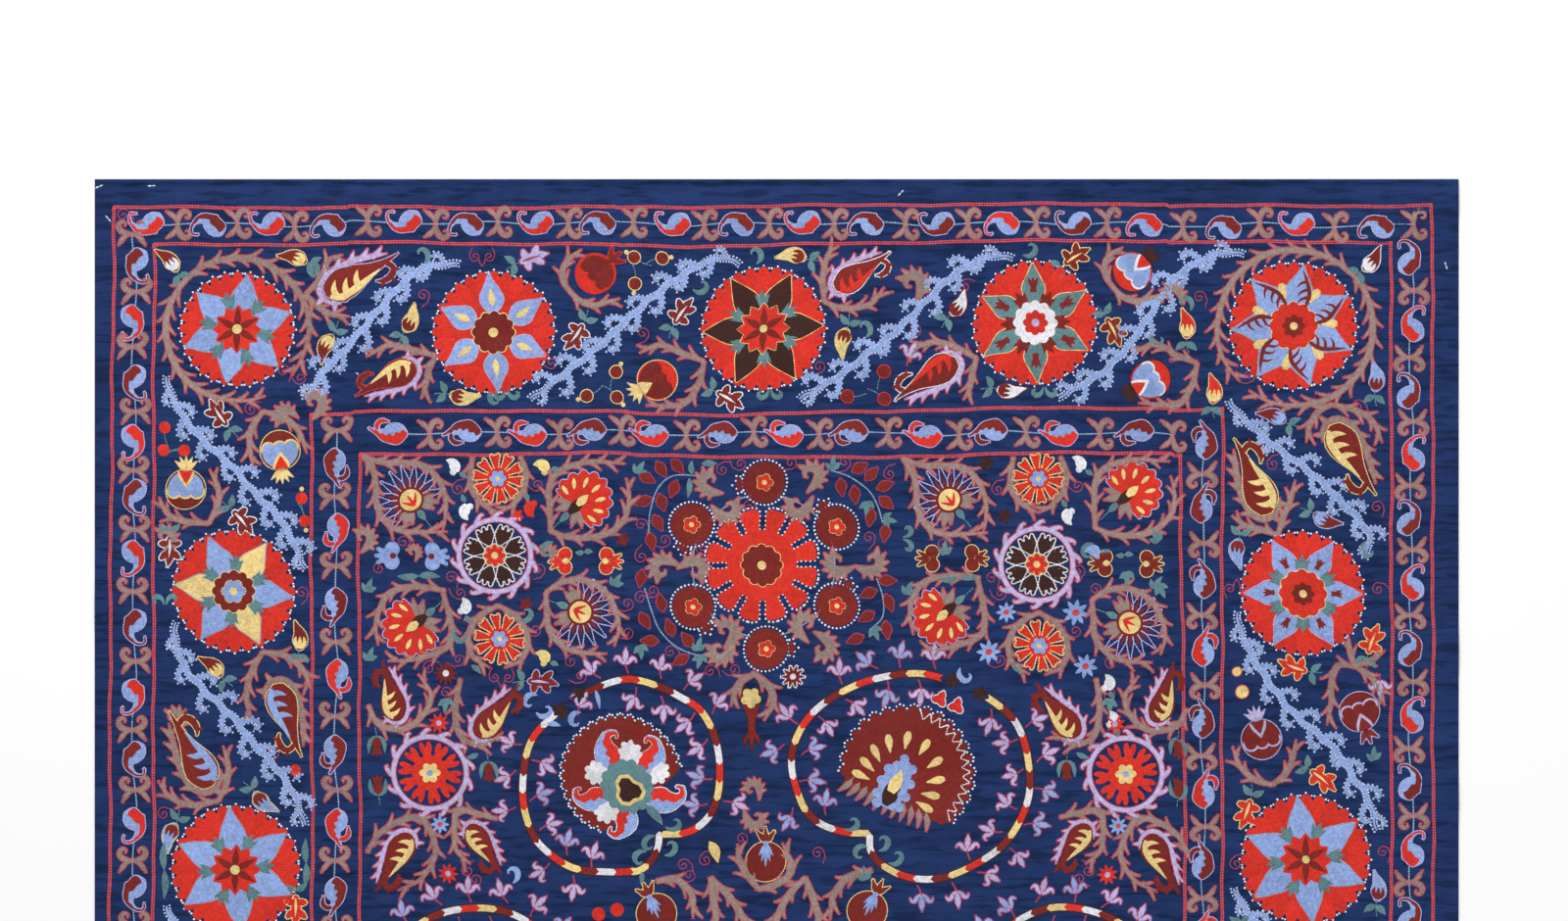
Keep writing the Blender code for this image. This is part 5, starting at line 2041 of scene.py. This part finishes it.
class SUZANI_OT_cloth(bpy.types.Operator):
    """Lay the five loom widths side by side"""

    bl_idname = "suzani.cloth"
    bl_label = "Cloth panels"

    def execute(self, context):
        """Lay each panel."""
        for index, name in enumerate(PANELS):
            lay_panel(index, name)
        return {"FINISHED"}


class SUZANI_OT_borders(bpy.types.Operator):
    """Sew the border lines and the chains of botehs between them"""

    bl_idname = "suzani.borders"
    bl_label = "Borders"

    def execute(self, context):
        """Sew the lines, then the stray thread ends and the chains."""
        lines, chains = new_needle(11), new_needle(12)
        sew_border_lines(lines)
        for x, y in THREAD_ENDS:
            chains.at(x, y, x * 7).row(((0, 0), (2, 0.4), (4, 0)), "white")
        sew("border_lines", lines.skeins, widening=BORDER_STITCH_WIDTH / STITCH_WIDTH)
        for chain in CHAINS:
            sew_chain(chains, *chain)
        sew("border_chain", chains.skeins)
        return {"FINISHED"}


class SUZANI_OT_rosettes(bpy.types.Operator):
    """Sew the rosettes and the feathery sprigs between them"""

    bl_idname = "suzani.rosettes"
    bl_label = "Rosettes and sprigs"

    def execute(self, context):
        """Sew the rosettes, then the sprigs."""
        rosettes, feathers = new_needle(21), new_needle(22)
        for row, heart in zip(ROSETTES, ROSETTE_HEARTS):
            sew_rosette(rosettes, row, heart)
        sew("rosettes", rosettes.skeins)
        for points in FEATHERS:
            sew_feather(feathers, points)
        sew("feathers", feathers.skeins)
        return {"FINISHED"}


class SUZANI_OT_band(bpy.types.Operator):
    """Sew the fruits, botehs, flowers and thorny branches of the wide band"""

    bl_idname = "suzani.band"
    bl_label = "Wide band"

    def execute(self, context):
        """Sew the branches first, then the motifs."""
        band = new_needle(31)
        for x, y, radius, start, sweep in CORNER_ARCS:
            branch(band.at(x, y), circle(radius, 14, start, sweep), 2.7, thorn=9)
        branches(band, BAND_BRANCHES)
        motifs(band, BAND_MOTIFS)
        sew("band", band.skeins)
        return {"FINISHED"}


class SUZANI_OT_squares(bpy.types.Operator):
    """Sew the three squares at the head of the field"""

    bl_idname = "suzani.squares"
    bl_label = "Squares"

    def execute(self, context):
        """Sew the two side squares, then the middle one."""
        sides, middle = new_needle(41), new_needle(42)
        sew_square(sides, False, "sky", "sky")
        sew_square(sides, True, "maroon", "cream")
        sew("squares", sides.skeins)
        sew_middle_square(middle)
        sew("middle_square", middle.skeins)
        return {"FINISHED"}


class SUZANI_OT_field(bpy.types.Operator):
    """Sew the rings of the field with their flowers, and the columns of botehs beside them"""

    bl_idname = "suzani.field"
    bl_label = "Field"

    def execute(self, context):
        """Sew the rings, the columns, and once what lies on the middle line."""
        field, columns, centre = new_needle(51), new_needle(52), new_needle(53)
        sew_field(field)
        sew("field", field.skeins)
        sew_columns(columns)
        sew("columns", columns.skeins)
        sew_centre(centre)
        sew("centre", centre.skeins, mirrored=False)
        return {"FINISHED"}


FLOOR_HALF_WIDTH = 6.0
CAMERA_LENS = 100.0
CAMERA_SENSOR = 36.0
# The middle of the photograph's view, and the width of the view, on the cloth.
VIEW_MIDDLE = (0.01125, 0.840)
VIEW_WIDTH = 2.4


class SUZANI_OT_stage(bpy.types.Operator):
    """Set the floor, the lights and the camera"""

    bl_idname = "suzani.stage"
    bl_label = "Floor, lights and camera"

    def execute(self, context):
        """Build the stage round the cloth."""
        signs = ((-1, -1), (1, -1), (1, 1), (-1, 1))
        corners = [(x * FLOOR_HALF_WIDTH, y * FLOOR_HALF_WIDTH, 0.0) for x, y in signs]
        mesh = bpy.data.meshes.new("floor")
        mesh.from_pydata(corners, [], [(0, 1, 2, 3)])
        mesh.materials.append(pale_floor())
        floor = link("floor", mesh)
        world = bpy.data.worlds.new("soft_room")
        world.use_nodes = True
        sky = world.node_tree.nodes["Background"]
        sky.inputs["Color"].default_value = (1.0, 1.0, 1.0, 1.0)
        sky.inputs["Strength"].default_value = 0.62
        context.scene.world = world
        lights = (
            # name, place, size, power
            ("key_light", (-1.2, 5.2, 3.0), 1.6, 210.0),
            ("fill_light", (2.8, -1.2, 4.6), 3.0, 55.0),
        )
        for name, place, size, power in lights:
            light = bpy.data.lights.new(name, "AREA")
            light.shape = "DISK"
            light.size = size
            light.energy = power
            lamp = bpy.data.objects.new(name, light)
            context.scene.collection.objects.link(lamp)
            lamp.location = place
            lamp.rotation_euler = (-Vector(place)).to_track_quat("-Z", "Y").to_euler()
        camera = bpy.data.cameras.new("camera")
        camera.lens = CAMERA_LENS
        camera.sensor_width = CAMERA_SENSOR
        camera.clip_end = 50.0
        eye = bpy.data.objects.new("camera", camera)
        context.scene.collection.objects.link(eye)
        eye.location = (*VIEW_MIDDLE, VIEW_WIDTH * CAMERA_LENS / CAMERA_SENSOR)
        eye.rotation_euler = (0.0, 0.0, 0.0)
        context.scene.camera = eye
        context.scene.view_settings.view_transform = "Standard"
        return {"FINISHED"}


STEPS = (
    SUZANI_OT_stage,
    SUZANI_OT_cloth,
    SUZANI_OT_borders,
    SUZANI_OT_rosettes,
    SUZANI_OT_band,
    SUZANI_OT_squares,
    SUZANI_OT_field,
)


class SUZANI_PT_panel(bpy.types.Panel):
    """The suzani's steps, in the order of making"""

    bl_label = "Suzani"
    bl_idname = "SUZANI_PT_panel"
    bl_space_type = "VIEW_3D"
    bl_region_type = "UI"
    bl_category = "Suzani"

    def draw(self, context):
        """List the settings and the steps."""
        scene = context.scene
        for settings in (scene.suzani_cloth, scene.suzani_threads):
            box = self.layout.box()
            for name in settings.bl_rna.properties.keys():
                if name not in ("rna_type", "name"):
                    box.prop(settings, name)
        for step in STEPS:
            self.layout.operator(step.bl_idname)


CLASSES = (SuzaniClothSettings, SuzaniThreadSettings, *STEPS, SUZANI_PT_panel)


def register():
    """Add the classes and the settings on the scene."""
    for cls in CLASSES:
        bpy.utils.register_class(cls)
    bpy.types.Scene.suzani_cloth = bpy.props.PointerProperty(type=SuzaniClothSettings)
    bpy.types.Scene.suzani_threads = bpy.props.PointerProperty(type=SuzaniThreadSettings)


def unregister():
    """Take the settings and the classes away again."""
    del bpy.types.Scene.suzani_threads
    del bpy.types.Scene.suzani_cloth
    for cls in reversed(CLASSES):
        bpy.utils.unregister_class(cls)


def main():
    """Make the whole scene."""
    register()
    for step in STEPS:
        group, action = step.bl_idname.split(".")
        getattr(getattr(bpy.ops, group), action)()


if __name__ == "__main__":
    main()
